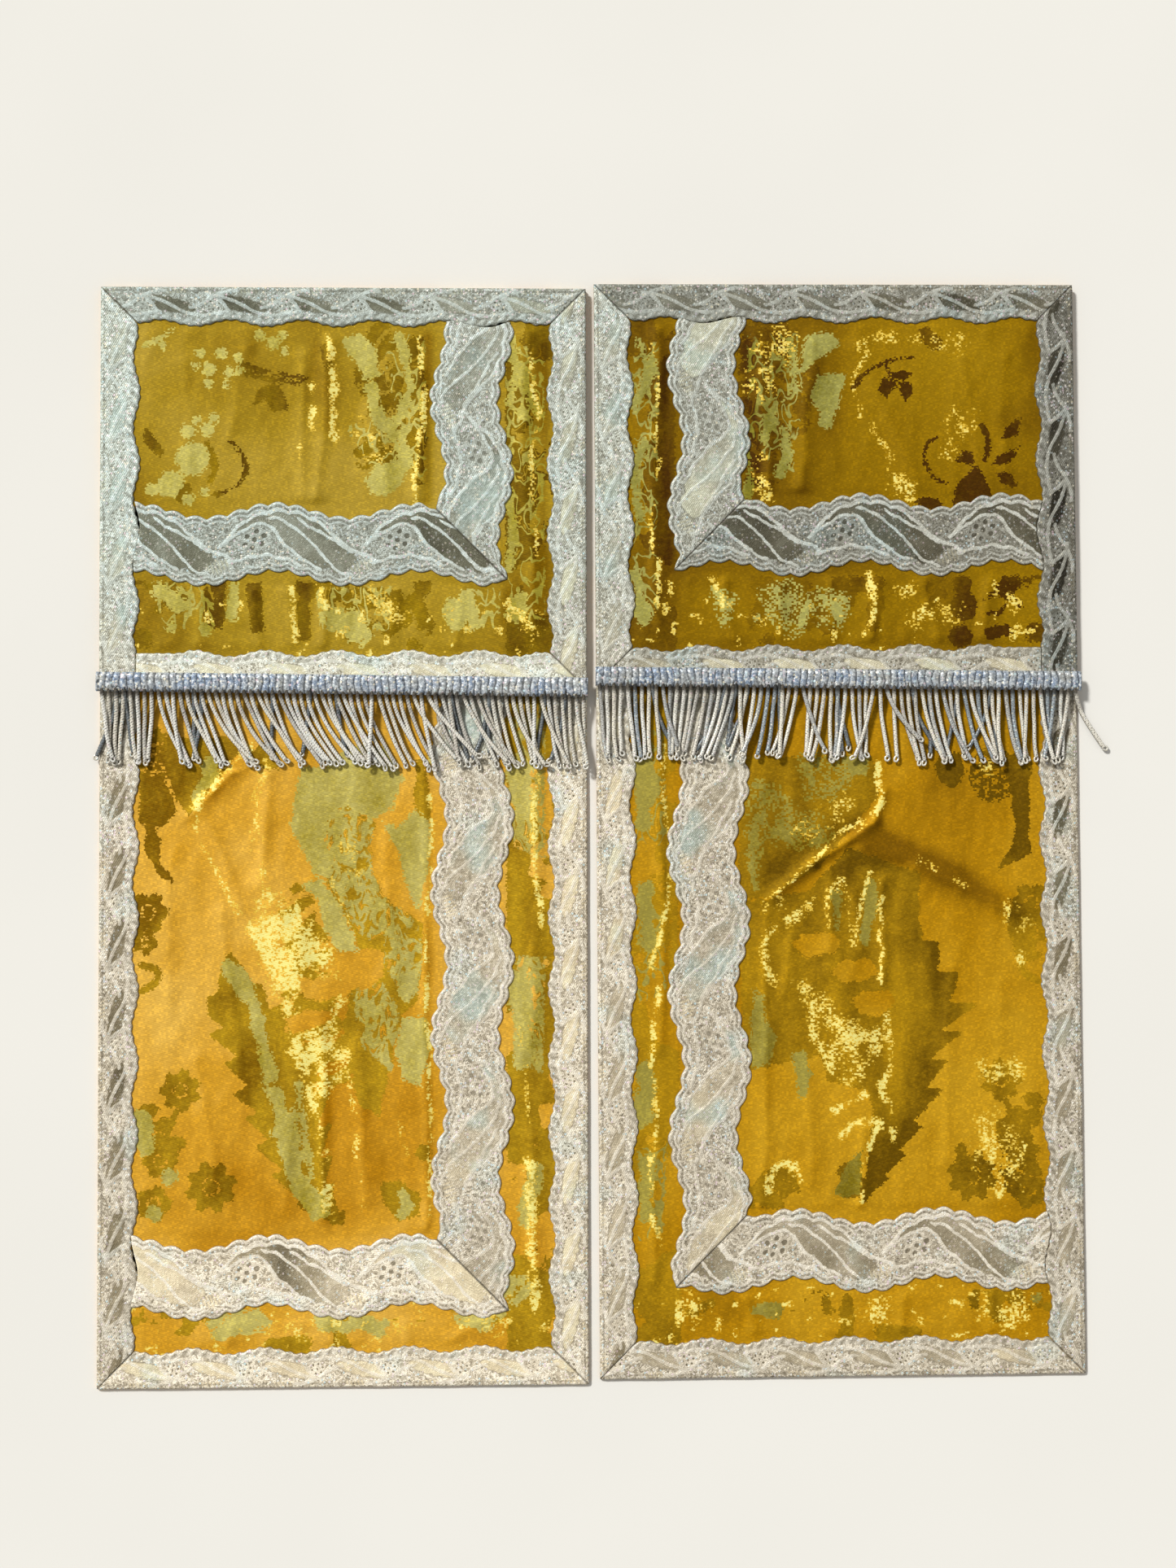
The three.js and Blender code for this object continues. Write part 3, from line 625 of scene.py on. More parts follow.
# painted shade where the cloth's valleys darken it, and changes of tone: strength, half width, run of places;
# a half width below 0 darkens the figure alone, and a strength below 0 brightens
valleyShadeAndTone = {
    "left_veil": [
        (0.4, -22, [(262, 380), (274, 330), (262, 310)]), (0.4, 8, [(232, 368), (214, 392)]),
        (0.22, 18, [(210, 112), (150, 100)]), (0.3, -9, [(206, 206), (212, 178)]), (0.35, -9, [(228, 234)]),
        (0.3, -14, [(270, 290), (272, 260)]), (0.25, -16, [(250, 181)]), (0.25, -18, [(231, 122)]),
        (-0.14, 30, [(258, 215)]), (-0.15, 16, [(60, 38), (240, 38)]), (0.12, 30, [(235, 325)]),
        (0.2, -8, [(152, 156), (150, 108)]), (-0.25, 16, [(148, 256), (132, 256)]),
        (-0.15, 14, [(132, 192)]),
    ],
    "right_veil": [
        (0.6, 8, [(160, 336), (176, 330), (202, 318), (228, 304), (262, 285)]),
        (0.5, -19, [(210, 266), (217, 230), (210, 192), (194, 152), (172, 118)]),
        (-0.3, -12, [(186, 250), (185, 165)]), (-0.15, -30, [(105, 250), (150, 220)]),
        (0.4, 7, [(152, 312), (168, 319), (186, 322)]), (0.45, -16, [(218, 374), (258, 360), (266, 326)]),
        (0.3, 9, [(140, 330), (112, 312)]), (-0.15, 30, [(125, 165)]), (0.4, 34, [(222, 362)]),
        (-0.42, 44, [(240, 235), (238, 200)]), (0.3, -16, [(245, 181)]), (0.3, -24, [(240, 120)]),
        (-0.38, 18, [(36, 400), (36, 60)]),
    ],
    "left_valance": [
        (0.35, 6, [(166, 640), (162, 590)]), (0.5, 4, [(98, 646), (99, 545)]),
        (0.5, -9, [(230, 492), (230, 468)]), (0.45, -7, [(206, 490), (204, 464)]),
        (0.4, 5, [(174, 490), (174, 460)]), (0.3, 4, [(27, 640), (28, 470)]),
        (0.24, 20, [(36, 640), (36, 470)]), (-0.2, 40, [(200, 575), (230, 605)]),
        (0.55, -6, [(222, 582), (212, 566), (222, 550)]), (0.3, -14, [(204, 608), (188, 606)]),
        (0.3, -6, [(213, 629), (174, 620)]), (0.2, -8, [(268, 580)]), (-0.15, 20, [(80, 474), (240, 474)]),
    ],
    "right_valance": [
        (0.6, -24, [(238, 556), (256, 574)]), (0.55, -16, [(236, 476), (258, 478)]),
        (0.5, 4, [(97, 640), (99, 545)]), (0.4, -14, [(182, 616), (196, 614)]),
        (0.4, -5, [(162, 612), (184, 629), (200, 631)]), (0.45, -5, [(220, 551), (206, 566), (213, 580)]),
        (0.5, -10, [(227, 456), (254, 458)]), (0.3, 4, [(44, 640), (46, 500)]), (-0.15, 30, [(160, 570)]),
        (0.4, -8, [(208, 540)]), (0.06, 14, [(34, 640), (34, 470)]), (0.16, 24, [(110, 640), (106, 560)]),
        (-0.25, 20, [(80, 474), (200, 472)]),
    ],
}


def between(value, low, high):
    return smooth((value - low) / cloth["ramp"]) * smooth((high - value) / cloth["ramp"])


def clothLift(rows, spot, foot, head, x, y, seed):
    # the cloth rises only in its free fields, and lies flat under its galloons
    inner, outer = rimReach - cloth["tuck"], half["width"] - rimReach + cloth["tuck"]
    reach = bandReach - cloth["bandTuck"]
    beside = between(x, inner, spot["x"] - reach) * between(y, foot + inner, head)
    inside = between(x, spot["x"] + reach, outer) * between(y, spot["y"] + reach, head)
    below = between(x, inner, outer) * between(y, foot + inner, spot["y"] - reach)
    free = np.maximum.reduce([beside, inside, below])
    rise = np.zeros(np.shape(x))
    wander = 2.2 * lumps(x, y, 24, seed + 1)
    for ax, ay, bx, by, spread, height in rows:
        away = toLine(x + wander, y, [(ax, ay), (bx, by)])
        ridge = 0.6 * np.exp(-((away / spread) ** 2)) + 0.5 * np.exp(-away / (0.45 * spread))
        rise += cloth["foldGain"] * height * ridge
    rise += 0.5 * (lumps(x * 1.5, y * 0.6, 17, seed + 2) + 0.5)
    rise += 0.26 * lumps(x * 1.3, y * 0.8, 7, seed + 3)
    return np.maximum(rise, 0) * free


# Figures are kept as distances in mm, above zero inside

def flower(x, y, cx, cy, radius, petals, start=0.0):
    r, a = np.hypot(x - cx, y - cy), np.arctan2(y - cy, x - cx) + start
    petal = 0.28 * np.abs(np.cos(a * petals / 2)) - 0.1 * np.abs(np.cos(a * petals * 1.5))
    return np.minimum(radius * (0.72 + petal) - r, np.abs(r - radius * 0.3) - 0.5)


def sprig(x, y, stem, size, width, count):
    # small leaves set left and right along a stem
    run = curve(stem, 8)
    marks = [1.2 - toLine(x, y, stem)]
    for i in range(count):
        k = int((i + 0.5) / count * (len(run) - 2))
        (ax, ay), (bx, by) = run[k], run[k + 1]
        way = math.atan2(by - ay, bx - ax) + (0.9 if i % 2 else -0.9)
        u = (x - ax) * math.cos(way) + (y - ay) * math.sin(way)
        w = (y - ay) * math.cos(way) - (x - ax) * math.sin(way)
        blade = width * np.sin(math.pi * np.clip(u / size, 0, 1) ** 0.8) ** 0.7 - np.abs(w)
        marks.append(np.minimum.reduce([blade, u, size - u]))
    return np.maximum.reduce(marks)


def toothedLeaf(x, y, spine, outer, inner, teeth, depth):
    # blade along a curved spine, with its widths to either side at even shares of its length
    run = curve(spine, 6)
    ends = np.concatenate([[0], np.cumsum(np.hypot(*np.diff(run, axis=0).T))])
    best, share, side = np.full(np.shape(x), far), np.zeros(np.shape(x)), np.zeros(np.shape(x))
    for (ax, ay), (bx, by), start, end in zip(run[:-1], run[1:], ends[:-1], ends[1:]):
        away, t = toSpan(x, y, (ax, ay), (bx, by))
        nearer = away < best
        side = np.where(nearer, (bx - ax) * (y - ay) - (by - ay) * (x - ax), side)
        share = np.where(nearer, (start + t * (end - start)) / ends[-1], share)
        best = np.minimum(best, away)
    left, right = (np.interp(share, np.linspace(0, 1, len(row)), row) for row in (outer, inner))
    edge = np.where(side > 0, left, right)
    return edge * (1 - depth / max(outer) * ((share * teeth) % 1.0)) - best


def netted(x, y, cx, cy, rx, ry, pitch):
    inside = (1 - np.hypot((x - cx) / rx, (y - cy) / ry)) * min(rx, ry)
    stagger = (np.floor(x / pitch) % 2) * pitch / 2
    u, v = (x / pitch) % 1.0 - 0.5, ((y + stagger) / pitch) % 1.0 - 0.5
    return np.minimum(inside, (np.maximum(np.abs(u), np.abs(v)) - 0.27) * pitch)


def patches(x, y, rows, seed, slits):
    # leafy patches along runs of places or within outlines, slit by bent veins where they are wide
    ragged = 5 * lumps(x, y, 11, seed) + 4 * lumps(x, y, 5, seed + 1)
    bent = (0.35 * x + 0.94 * y) / 2.3 + 3.2 * lumps(x, y, 16, seed + 2) + 1.2 * lumps(x, y, 7, seed + 3)
    veins = 2.6 * (np.sin(bent) + 1.15 - slits + 0.5 * lumps(x, y, 20, seed + 4))
    marks = []
    for size, places in rows:
        if size <= 0:
            mark = intoArea(x, y, places) + 0.2 * ragged
        else:
            fray = min(size, 8) / 8 * (0.2 if len(places) == 1 else 0.8)
            mark = size - toLine(x, y, places) + fray * ragged
        if size < 0:
            mark = np.minimum(0.3 * mark, 1.2 * lumps(x * 1.2, y * 0.7, 6, seed + 5) + 0.15)
        marks.append(np.minimum(mark, veins) if size > 7 and len(places) > 1 else mark)
    return np.maximum.reduce(marks)


def flowing(x, y, share, seed):
    return 9 * (lumps(x * 1.1, y * 0.55, 17, seed) + 0.55 * lumps(x, y, 7, seed + 1) + share)


bigLeaves = {
    "left": dict(
        spine=[(220, 262), (212, 232), (200, 204), (188, 176), (180, 148), (170, 120), (156, 103)],
        outer=[3, 27, 24, 28, 24, 17, 5], inner=[3, 20, 28, 32, 26, 18, 7], teeth=9, depth=11,
    ),
    "right": dict(
        spine=[(184, 302), (185, 250), (183, 200), (181, 160), (163, 108)],
        outer=[4, 18, 36, 52, 38, 32, 20, 14, 3], inner=[1, 1, 1, 2, 3, 2, 1, 5, 2], teeth=11, depth=18,
    ),
}
# flowers by the outer edge: middle, radius, petals, turn; and curled stems: half width, run of places
veilFlowers = [
    (270, 290, 14, 6), (272, 272, 9, 5, 0.5), (250, 181, 14, 7), (231, 122, 17, 8, 0.3), (262, 138, 12, 6),
    (266, 112, 12, 5, 0.6),
]
veilStems = [
    (2.2, [(274, 258), (264, 254), (266, 246), (274, 242)]), (1.8, [(252, 168), (258, 154), (252, 142)]),
]


def veilFigures(name, x, y):
    left = name == "left"
    lattice = netted(x, y, 274, 386, 22, 20, 6) if left else netted(x, y, 247, 370, 15, 17, 6)
    marks = [lattice, toothedLeaf(x, y, **bigLeaves[name])]
    marks += [flower(x, y, *row) for row in veilFlowers]
    marks += [thick - toLine(x, y, places) for thick, places in veilStems]
    marks.append(sprig(x, y, [(276, 168), (264, 158), (256, 146)], 13, 4.5, 5))
    marks.append(np.minimum(flowing(x, y, 0.3 if left else 0.12, 73), 50 - x))
    marks.append(np.minimum(flowing(y, x, -0.3, 75), 52 - y))
    return np.maximum.reduce(marks)


def valanceFigures(x, y):
    beside = np.minimum(flowing(x, y, 0.3, 89), 50 - x)
    below = np.minimum(flowing(x, y, -0.45, 91), 494 - y)
    return np.maximum(beside, below)


# colours of each cloth: its ground in a valley, flat and towards the light, its olive figure dark and light,
# its sage threads dark and light, and the breadth and detail of its veins
brocadeColours = {
    "left_veil": dict(
        ground=[(180, 122, 2), (217, 161, 42), (236, 187, 80)], olive=[(128, 92, 1), (200, 160, 30)],
        sage=[(166, 148, 48), (200, 186, 102)], veins=(0.1, 3.0),
    ),
    "right_veil": dict(
        ground=[(126, 88, 1), (182, 132, 8), (202, 154, 28)], olive=[(108, 79, 2), (180, 138, 16)],
        sage=[(128, 110, 20), (164, 150, 66)], veins=(0.06, 0.8),
    ),
    "left_valance": dict(
        ground=[(132, 98, 2), (170, 139, 30), (188, 158, 56)], olive=[(96, 68, 1), (158, 128, 12)],
        sage=[(166, 152, 52), (202, 190, 102)], veins=(0.055, 0.8),
    ),
    "right_valance": dict(
        ground=[(108, 76, 1), (149, 113, 2), (166, 129, 10)], olive=[(76, 46, 2), (136, 102, 2)],
        sage=[(132, 124, 40), (178, 172, 94)], veins=(0.05, 0.8),
    ),
}


def cutOut(tree, field, thread, ragged, soft=0.1):
    # a distance cut thread by thread
    shifted = sums(tree, "MULTIPLY_ADD", thread, ragged, sums(tree, "ADD", field, -ragged / 2))
    return ramped(tree, shifted, -soft, soft)


def brocadeFinish(name, colours):
    material, tree, shader = newMaterial(name)
    flat = flatCoord(tree)
    figure, sage, veined = (attribute(tree, key) for key in ("figure", "sage", "veined"))
    sheen, flash, drift = (attribute(tree, key) for key in ("sheen", "flash", "drift"))
    # the outlines are cut thread by thread, and single threads flash
    edgeThread = place(tree, stitchGroup, {"Coord": flat, "Cell": (0.0013, 0.001, 1.0)})["Value"]
    brightThread = place(tree, stitchGroup, {"Coord": flat, "Cell": (0.0014, 0.0011, 1.0)})["Value"]
    woven = cutOut(tree, figure, edgeThread, 1.8)
    lame = noise(tree, stretched(tree, flat, (300.0, 420.0, 1.0)), 1.0, 3.0, 0.7)
    # the olive, sage and ground tones follow painted light and valley shade from the sheen and the drift
    sheenTone = sums(tree, "ADD", sheen, sums(tree, "MULTIPLY_ADD", lame, 0.9, -0.45), clamp=True)
    ground = shaded(tree, drift, zip((0.0, 0.5, 1.0), colours["ground"]))
    olive = shaded(tree, sheenTone, zip((0.0, 1.0), colours["olive"]))
    pale = shaded(tree, sheenTone, zip((0.1, 0.8), colours["sage"]))
    base = blended(tree, woven, ground, olive)
    # branching veins of sage and ground over the olive
    breadth, detail = colours["veins"]
    net = noise(tree, stretched(tree, flat, (1.2, 0.72, 1.0)), 112.0, detail, 0.55, 0.7)
    area = cutOut(tree, veined, edgeThread, 1.8, 0.3)
    base = blended(tree, times(tree, area, nearTo(tree, net, 0.36, 0.03, 0.015)), base, ground)
    base = blended(tree, cutOut(tree, sage, brightThread, 2.6), base, pale)
    base = blended(tree, times(tree, area, nearTo(tree, net, 0.5, breadth, 0.5 * breadth)), base, pale)
    base = tinted(tree, base, (0.42, 0.36, 0.2), times(tree, edgeThread, 0.2))
    base = tinted(tree, base, (1.5, 1.47, 1.2), ramped(tree, brightThread, 0.5, 1.0, 0.0, 0.5))
    # painted glints of the metal threads, gold to pale yellow where the flash is high
    lit = times(tree, flash, ramped(tree, lame, 0.34, 0.6, 0.5, 1.4))
    caught = sums(tree, "SUBTRACT", lit, sums(tree, "MULTIPLY_ADD", brightThread, 0.75, 0.2))
    glintGold = blended(tree, ramped(tree, caught, 0.0, 0.6), tone(244, 200, 58), tone(255, 243, 144))
    base = blended(tree, ramped(tree, caught, -0.03, 0.12, 0.0, 0.92), base, glintGold)
    threads = place(tree, threadsGroup, {"Coord": flat, "Pitch": 0.0011, "Slant": (0.25, 0.97, 0.0)})
    fine = sums(tree, "MULTIPLY_ADD", edgeThread, 0.4, times(tree, threads["Height"], 0.3))
    height = sums(tree, "MULTIPLY_ADD", woven, 0.5, fine)
    shader.inputs["Specular IOR Level"].default_value = 0.06
    finishWith(tree, shader, base, 0.6, sums(tree, "MULTIPLY_ADD", woven, 0.08, 0.06), height, 0.0003, 0.5)
    return material


def liningFinish():
    material, tree, shader = newMaterial("goldLining")
    flat = flatCoord(tree)
    threads = place(tree, threadsGroup, {"Coord": flat, "Pitch": 0.0012, "Slant": (0.7, 0.7, 0.0)})
    base = blended(tree, noise(tree, flat, 60.0), tone(196, 152, 66), tone(214, 172, 86))
    base = blended(tree, ramped(tree, threads["Shade"], 0.1, 0.8, 0.3, 0.0), base, tone(150, 108, 40))
    finishWith(tree, shader, base, 0.55, 0.0, threads["Height"], 0.0003)
    return material


lining = liningFinish()


def clipped(**fields):
    return {key: np.clip(*field) for key, field in fields.items()}


def weave(name, part, x, y, foot, facing, seed):
    # fields that the finish cuts and shades; facing is how far a slope looks to the light
    key = f"{name}_{part}"
    figure = veilFigures(name, x, y) if part == "veil" else valanceFigures(x, y)
    figure = np.maximum(figure, patches(x, y, olivePlaces[key], seed + 21, 0.45))
    sage = patches(x, y, sagePlaces[key], seed + 27, 0.45 if key == "right_veil" else 0.0)
    veined = np.maximum.reduce([intoArea(x, y, spots) for spots in veinPlaces[key]])
    # sheen and the ground's drift: random tone plus painted light, lighter on slopes that face the light
    sheen = 0.25 * lumps(x * 1.5, y * 0.5, 14, seed + 7) + 0.12 * lumps(x * 1.6, y, 6, seed + 8)
    sheen += 0.55 + 0.8 * facing
    drift = 0.4 * lumps(x, y, 80, seed + 10) + 0.16 * lumps(x, y, 22, seed + 12)
    drift += 0.52 + 0.9 * facing
    # painted valley shade lowers the sheen, and the ground's drift where the half width is above 0
    for strength, size, places in valleyShadeAndTone[key]:
        shadow = strength * np.exp(-((toLine(x, y, places) / size) ** 2))
        sheen -= 1.3 * shadow
        drift -= shadow * (size > 0)
    # painted flashes: slopes that face the light catch it
    flash = np.clip(0.9 * facing - 0.2, 0, 0.4)
    wander = 1.6 * lumps(x, y, 9, seed + 16)
    for strength, size, places in flashes[key]:
        if size:
            near = np.exp(-((toLine(x + wander, y, places) / size) ** 2))
        else:
            near = smooth(intoArea(x + 2 * wander, y + wander, places) / 14 + 0.5)
        flash = np.maximum(flash, strength * near)
    # painted glints scattered over the lower strip
    glitter = 0.62 * smooth((lumps(x, y, 5, seed + 18) - 0.3) / 0.4)
    flash = np.maximum(flash, (y - foot < cloth["glitterHeight"]) * glitter)
    flash *= 0.82 + 0.7 * lumps(x * 1.2, y * 0.8, 6, seed + 15)
    for spots in windows.get(key, []):
        bare = intoArea(x, y, spots) + 0.8 * lumps(x, y, 4, seed + 19)
        figure, sage, veined = (np.minimum(field, -bare) for field in (figure, sage, veined))
        flash *= 1 - 0.85 * smooth(bare / 2 + 0.5)
    return clipped(
        figure=(figure, -3, 3), veined=(veined, -3, 3), sage=(sage, -4, 4),
        sheen=(sheen, 0, 1), flash=(flash, 0, 1), drift=(drift, 0, 1),
    )


def clothPiece(name, part):
    h, key, isVeil = halves[name], f"{name}_{part}", part == "veil"
    foot, seen = (0.0, valanceFoot + cloth["hide"]) if isVeil else (valanceFoot, half["height"])
    head = valanceFoot - cloth["hide"] if isVeil else half["height"] - rimReach + cloth["tuck"]
    xs = np.linspace(0, half["width"], int(half["width"] / cloth["cell"]) + 1)
    ys = np.linspace(foot, seen, int(round((seen - foot) / cloth["cell"])) + 1)
    if isVeil:
        hiddenRows = int((half["height"] - seen) / cloth["hiddenCell"]) + 1
        ys = np.concatenate([ys, np.linspace(seen, half["height"], hiddenRows)[1:]])
    x, y = np.meshgrid(xs, ys)
    seed = 11 + 40 * (name == "right") + 100 * isVeil
    rise = clothLift(folds[key], h[part + "Band"], foot, head, x, y, seed)
    if isVeil:  # the fringe holds the cloth down
        held = np.minimum(rise, cloth["heldRise"] + 0.1 * rise)
        rise = np.where(y > valanceFoot - cloth["heldFrom"], held, rise)
    back = levels[part + "Back"]
    top = toFrame(h, x, y, back + cloth["thick"] + rise)
    slope = h["side"] * np.gradient(rise, xs, axis=1) - np.gradient(rise, ys, axis=0)
    values = weave(name, part, x, y, foot, cloth["lightGain"] * slope, seed)
    label = name + part.capitalize()
    piece = sheetMesh(label + "Cloth", top, back * mm, np.stack([x, y], -1), values, lined=True)
    face = brocadeFinish(label + "Brocade", brocadeColours[key])
    return seat(piece, f"{key}_cloth", "brocade", face, lining)


clothPieces = {(name, part): clothPiece(name, part) for name in halves for part in ("veil", "valance")}
print("cloths laid")

# Silver galloons: one repeat of each pattern is drawn in mm, as distances that the finish cuts out

leafBand = dict(
    period=88.0, low=-22.0, high=22.0, ragged=0.55,
    upper=[(-11, 9.6), (-4.4, 13.4), (5.8, 15), (17.5, 16.2), (32, 16.2), (43.5, 12.6), (53.7, 4.8),
           (61, -1), (63, -5)],
    lower=[(-11, 7.2), (-1.5, 10.2), (7.3, 9.2), (13.1, 3.1), (17.5, -4), (24.7, -8.6), (32, -12.4),
           (38, -12), (40.7, -13.6), (46, -12.4), (50, -15), (56, -12.6), (61, -9), (63, -6)],
    lines=[
        [(-20.4, 2.4), (-11.7, 6.3), (-1.5, 9.4), (7.3, 8.6), (13.1, 3.1), (17.5, -4), (24.7, -8.6),
         (32, -12.6), (40.7, -14)],
        [(-21, 1.5), (-11.7, 10.2), (-4.4, 14.2), (5.8, 15.7), (17.5, 17), (32, 17), (43.5, 13.4),
         (53.7, 5.5), (61, 0), (70, -4.7), (74, -9.4)],
        [(9.4, 12.6), (17.5, 11), (24.7, 7), (32, 3.1), (39.4, -2.4), (46.6, -9.4), (53.7, -14),
         (60, -15.5)],
        [(27, 13), (38, 9.8), (46.3, 7.9), (53.7, 3.9), (60, -0.5)],
        [(-16, -9.6), (-6, -10.6), (6, -11.4), (16, -13.4), (28, -15.6)],
    ],
    berry=dict(at=(0, 0), across=6.2, up=5.2, dot=1.9), hatch=(-22, -11, 10, 5),
)
leafBorder = dict(
    period=44.0, low=0.0, high=24.6, ragged=0.35,
    upper=[(11, 14.6), (16, 16.6), (20, 16.6), (27, 15.8), (33.5, 14.4), (38, 12), (42, 8), (44.5, 5.8)],
    lower=[(11, 14.2), (14, 11.6), (17, 9.4), (20, 9.2), (22, 7.6), (26, 7.4), (27, 6), (32, 6.2),
           (33, 5.2), (40, 5.2), (44.5, 5.4)],
    lines=[
        [(7, 18), (18, 16), (28, 10.5), (39, 6.3), (47.5, 5.4)],
        [(15, 12.8), (10.5, 11.9), (5, 9), (0.7, 5.6), (-7, 2.8), (-14, 2.4)],
        [(-9, 15), (-6, 11), (-2, 7)], [(7, 18), (2, 17), (-4, 16.2), (-9, 15)],
    ],
    berry=dict(at=(0, 11.2), across=3.2, up=3.0, dot=0.9), hatch=(24, 2.6, 9, 1.6),
)


def drawRepeat(design):
    # fields over one repeat: into the leaf, to the bright lines, to the berries in dots, and the hatched end
    period, step = design["period"], 0.25
    rows = np.arange(design["low"], design["high"] + step, step)
    a, v = np.meshgrid(np.arange(0, period, step), rows, indexing="ij")
    a = a + design["ragged"] * lumps(a, v, 1.2, 21)
    v = v + design["ragged"] * lumps(a, v, 1.2, 22)
    leaf, line, berry, hatch = (np.full(a.shape, value) for value in (-9.0, 9.0, 9.0, 0.0))
    spot, upper, lower = design["berry"], design["upper"], design["lower"]
    turns = [k * tau / 6 + 0.3 for k in range(6)]
    dots = [(0, 0)] + [(spot["across"] * math.cos(turn), spot["up"] * math.sin(turn)) for turn in turns]
    hx, hy, rx, ry = design["hatch"]
    for shift in (-period, 0, period):
        u = a + shift
        inLeaf = np.minimum(np.interp(u, *zip(*upper)) - v, v - np.interp(u, *zip(*lower)))
        ends = np.minimum(u - upper[0][0], upper[-1][0] - u)
        leaf = np.maximum(leaf, np.minimum(inLeaf, ends))
        for points in design["lines"]:
            line = np.minimum(line, toLine(u, v, points))
        for dx, dy in dots:
            away = np.hypot(u - spot["at"][0] - dx, v - spot["at"][1] - dy)
            berry = np.minimum(berry, away / spot["dot"])
        hatch = np.maximum(hatch, 1 - np.hypot((u - hx) / rx, (v - hy) / ry))
    fields = clipped(leaf=(leaf, -4, 4), line=(line, 0, 4), berry=(berry, 0, 4), hatch=(hatch, 0, 1))

    def look(key, a, v):
        table = fields[key]
        i, j = (a % period) / step, np.clip((v - design["low"]) / step, 0, table.shape[1] - 1.001)
        i0, j0 = np.floor(i).astype(int), np.floor(j).astype(int)
        fi, fj = i - i0, j - j0
        i0, i1 = i0 % table.shape[0], (i0 + 1) % table.shape[0]
        low = table[i0, j0] * (1 - fi) + table[i1, j0] * fi
        high = table[i0, j0 + 1] * (1 - fi) + table[i1, j0 + 1] * fi
        return low * (1 - fj) + high * fj

    return look


leafBand["look"], leafBorder["look"] = drawRepeat(leafBand), drawRepeat(leafBorder)

# each strip: how its satin leaves catch the light at its start, middle and end (0 dark, 1 flashing),
# its brightness, painted for the light that falls on it, and how clear its pattern is
leafLight = {
    "left_valance_border_top": (0.7, 0.3, 0.26, 0.884, 1.0),
    "left_valance_border_opening": (0.6, 0.8, 0.95, 0.958, 0.9),
    "left_valance_border_outer": (0.55, 0.6, 0.62, 1.003, 0.7),
    "left_valance_border_bottom": (0.98, 0.9, 0.85, 1.13, 0.95),
    "left_valance_band_upright": (0.55, 0.5, 0.55, 0.906, 0.7),
    "left_valance_band_cross": (0.3, 0.34, 0.36, 0.877, 1.0),
    "left_veil_border_opening": (0.95, 0.9, 0.85, 1.075, 1),
    "left_veil_border_outer": (0.3, 0.22, 0.25, 1, 1.0),
    "left_veil_border_bottom": (0.8, 0.92, 0.95, 1.142, 1),
    "left_veil_band_upright": (0.62, 0.6, 0.56, 1.006, 0.6),
    "left_veil_band_cross": (0.9, 0.26, 1.0, 1.132, 0.9),
    "right_valance_border_top": (0.5, 0.35, 0.28, 0.729, 1.0),
    "right_valance_border_opening": (0.55, 0.6, 0.7, 0.959, 0.75),
    "right_valance_border_outer": (0.1, 0.05, 0.03, 0.583, 1.0),
    "right_valance_border_bottom": (0.8, 0.9, 0.95, 0.853, 0.95),
    "right_valance_band_upright": (0.8, 0.85, 0.9, 0.843, 0.6),
    "right_valance_band_cross": (0.28, 0.28, 0.26, 0.711, 1.0),
    "right_veil_border_opening": (0.4, 0.7, 0.85, 1.034, 1),
    "right_veil_border_outer": (0.75, 0.5, 0.02, 0.937, 1.0),
    "right_veil_border_bottom": (0.45, 0.55, 0.7, 1.011, 1),
    "right_veil_band_upright": (0.8, 0.62, 0.5, 0.959, 0.6),
    "right_veil_band_cross": (0.42, 0.42, 0.55, 0.978, 0.95),
}


def galloonPiece(name, part, kind, side, tucked, x, y, a, v, share, edge, outerEdge, seam):
    # a, v: place in the pattern; share: how far along the strip; tucked: it runs on beneath the valance
    # edge, outerEdge, seam: distances to the scalloped edge, the other edge and the mitre
    node, wide = f"{name}_{part}_{kind}_{side}", kind == "band"
    look = leafBand["look"] if wide else leafBorder["look"]
    leaf, line, berry, hatch = (look(key, a, v) for key in ("leaf", "line", "berry", "hatch"))
    cord = np.exp(-(((edge - 1.2) / 1.1) ** 2))
    rope = 0.5 + 0.5 * np.cos(tau * (a + 0.7 * edge) / (band["scallop"] / (4 if wide else 2)))
    relief = 0.1 * smooth(leaf / 1.2) + 0.24 * np.exp(-((line / 0.8) ** 2)) - 0.26 * smooth(1.5 - berry)
    relief += 0.34 * cord * (0.55 + 0.45 * rope)
    relief += 0.07 * lumps(x, y, 1.9, 5) + 0.14 * lumps(x, y, 19, 8)
    if wide:
        relief += 0.16 * np.exp(-(((edge - 4.3) / 0.8) ** 2))
    else:
        relief += 0.2 * smooth((5.5 - edge) / 2.0) * (rope - 0.4)
    relief -= 0.6 * (1 - smooth(np.minimum(edge, outerEdge + 0.3) / 1.1)) + 0.4 * (1 - smooth(seam / 1.2))
    if tucked:
        hidden = y > valanceFoot - galloon["hide"]
        relief = np.where(hidden, np.minimum(relief, galloon["hiddenRelief"]), relief)
    back = levels[part + "Face"]
    top = toFrame(halves[name], x, y, back + galloon["thick"] + relief)
    *stops, paintedLightLevel, clear = leafLight[node]
    light = np.interp(share, (0.05, 0.5, 0.95), stops)
    light += 0.14 * lumps(x, y, 34, 31 + len(node)) + 0.12 * lumps(x, y, 12, 33)
    values = dict(
        leaf=leaf, line=line, berry=berry, hatch=hatch, edge=edge, outerEdge=outerEdge, rope=rope,
        light=np.clip(light, 0, 1), seam=np.clip(seam, 0, 4), paintedLightLevel=np.full(x.shape, paintedLightLevel ** 2.2),
        clear=np.full(x.shape, clear),
    )
    label = name + part.capitalize() + kind.capitalize() + side.capitalize()
    piece = sheetMesh(label, top, back * mm, np.stack([a, v], -1), values)
    return seat(piece, node, "galloon", wideFinish if wide else narrowFinish)


satinStops = [
    (0.0, (84, 76, 52)), (0.32, (168, 160, 138)), (0.6, (222, 215, 198)), (0.85, (250, 240, 214)),
    (1.0, (255, 250, 224)),
]


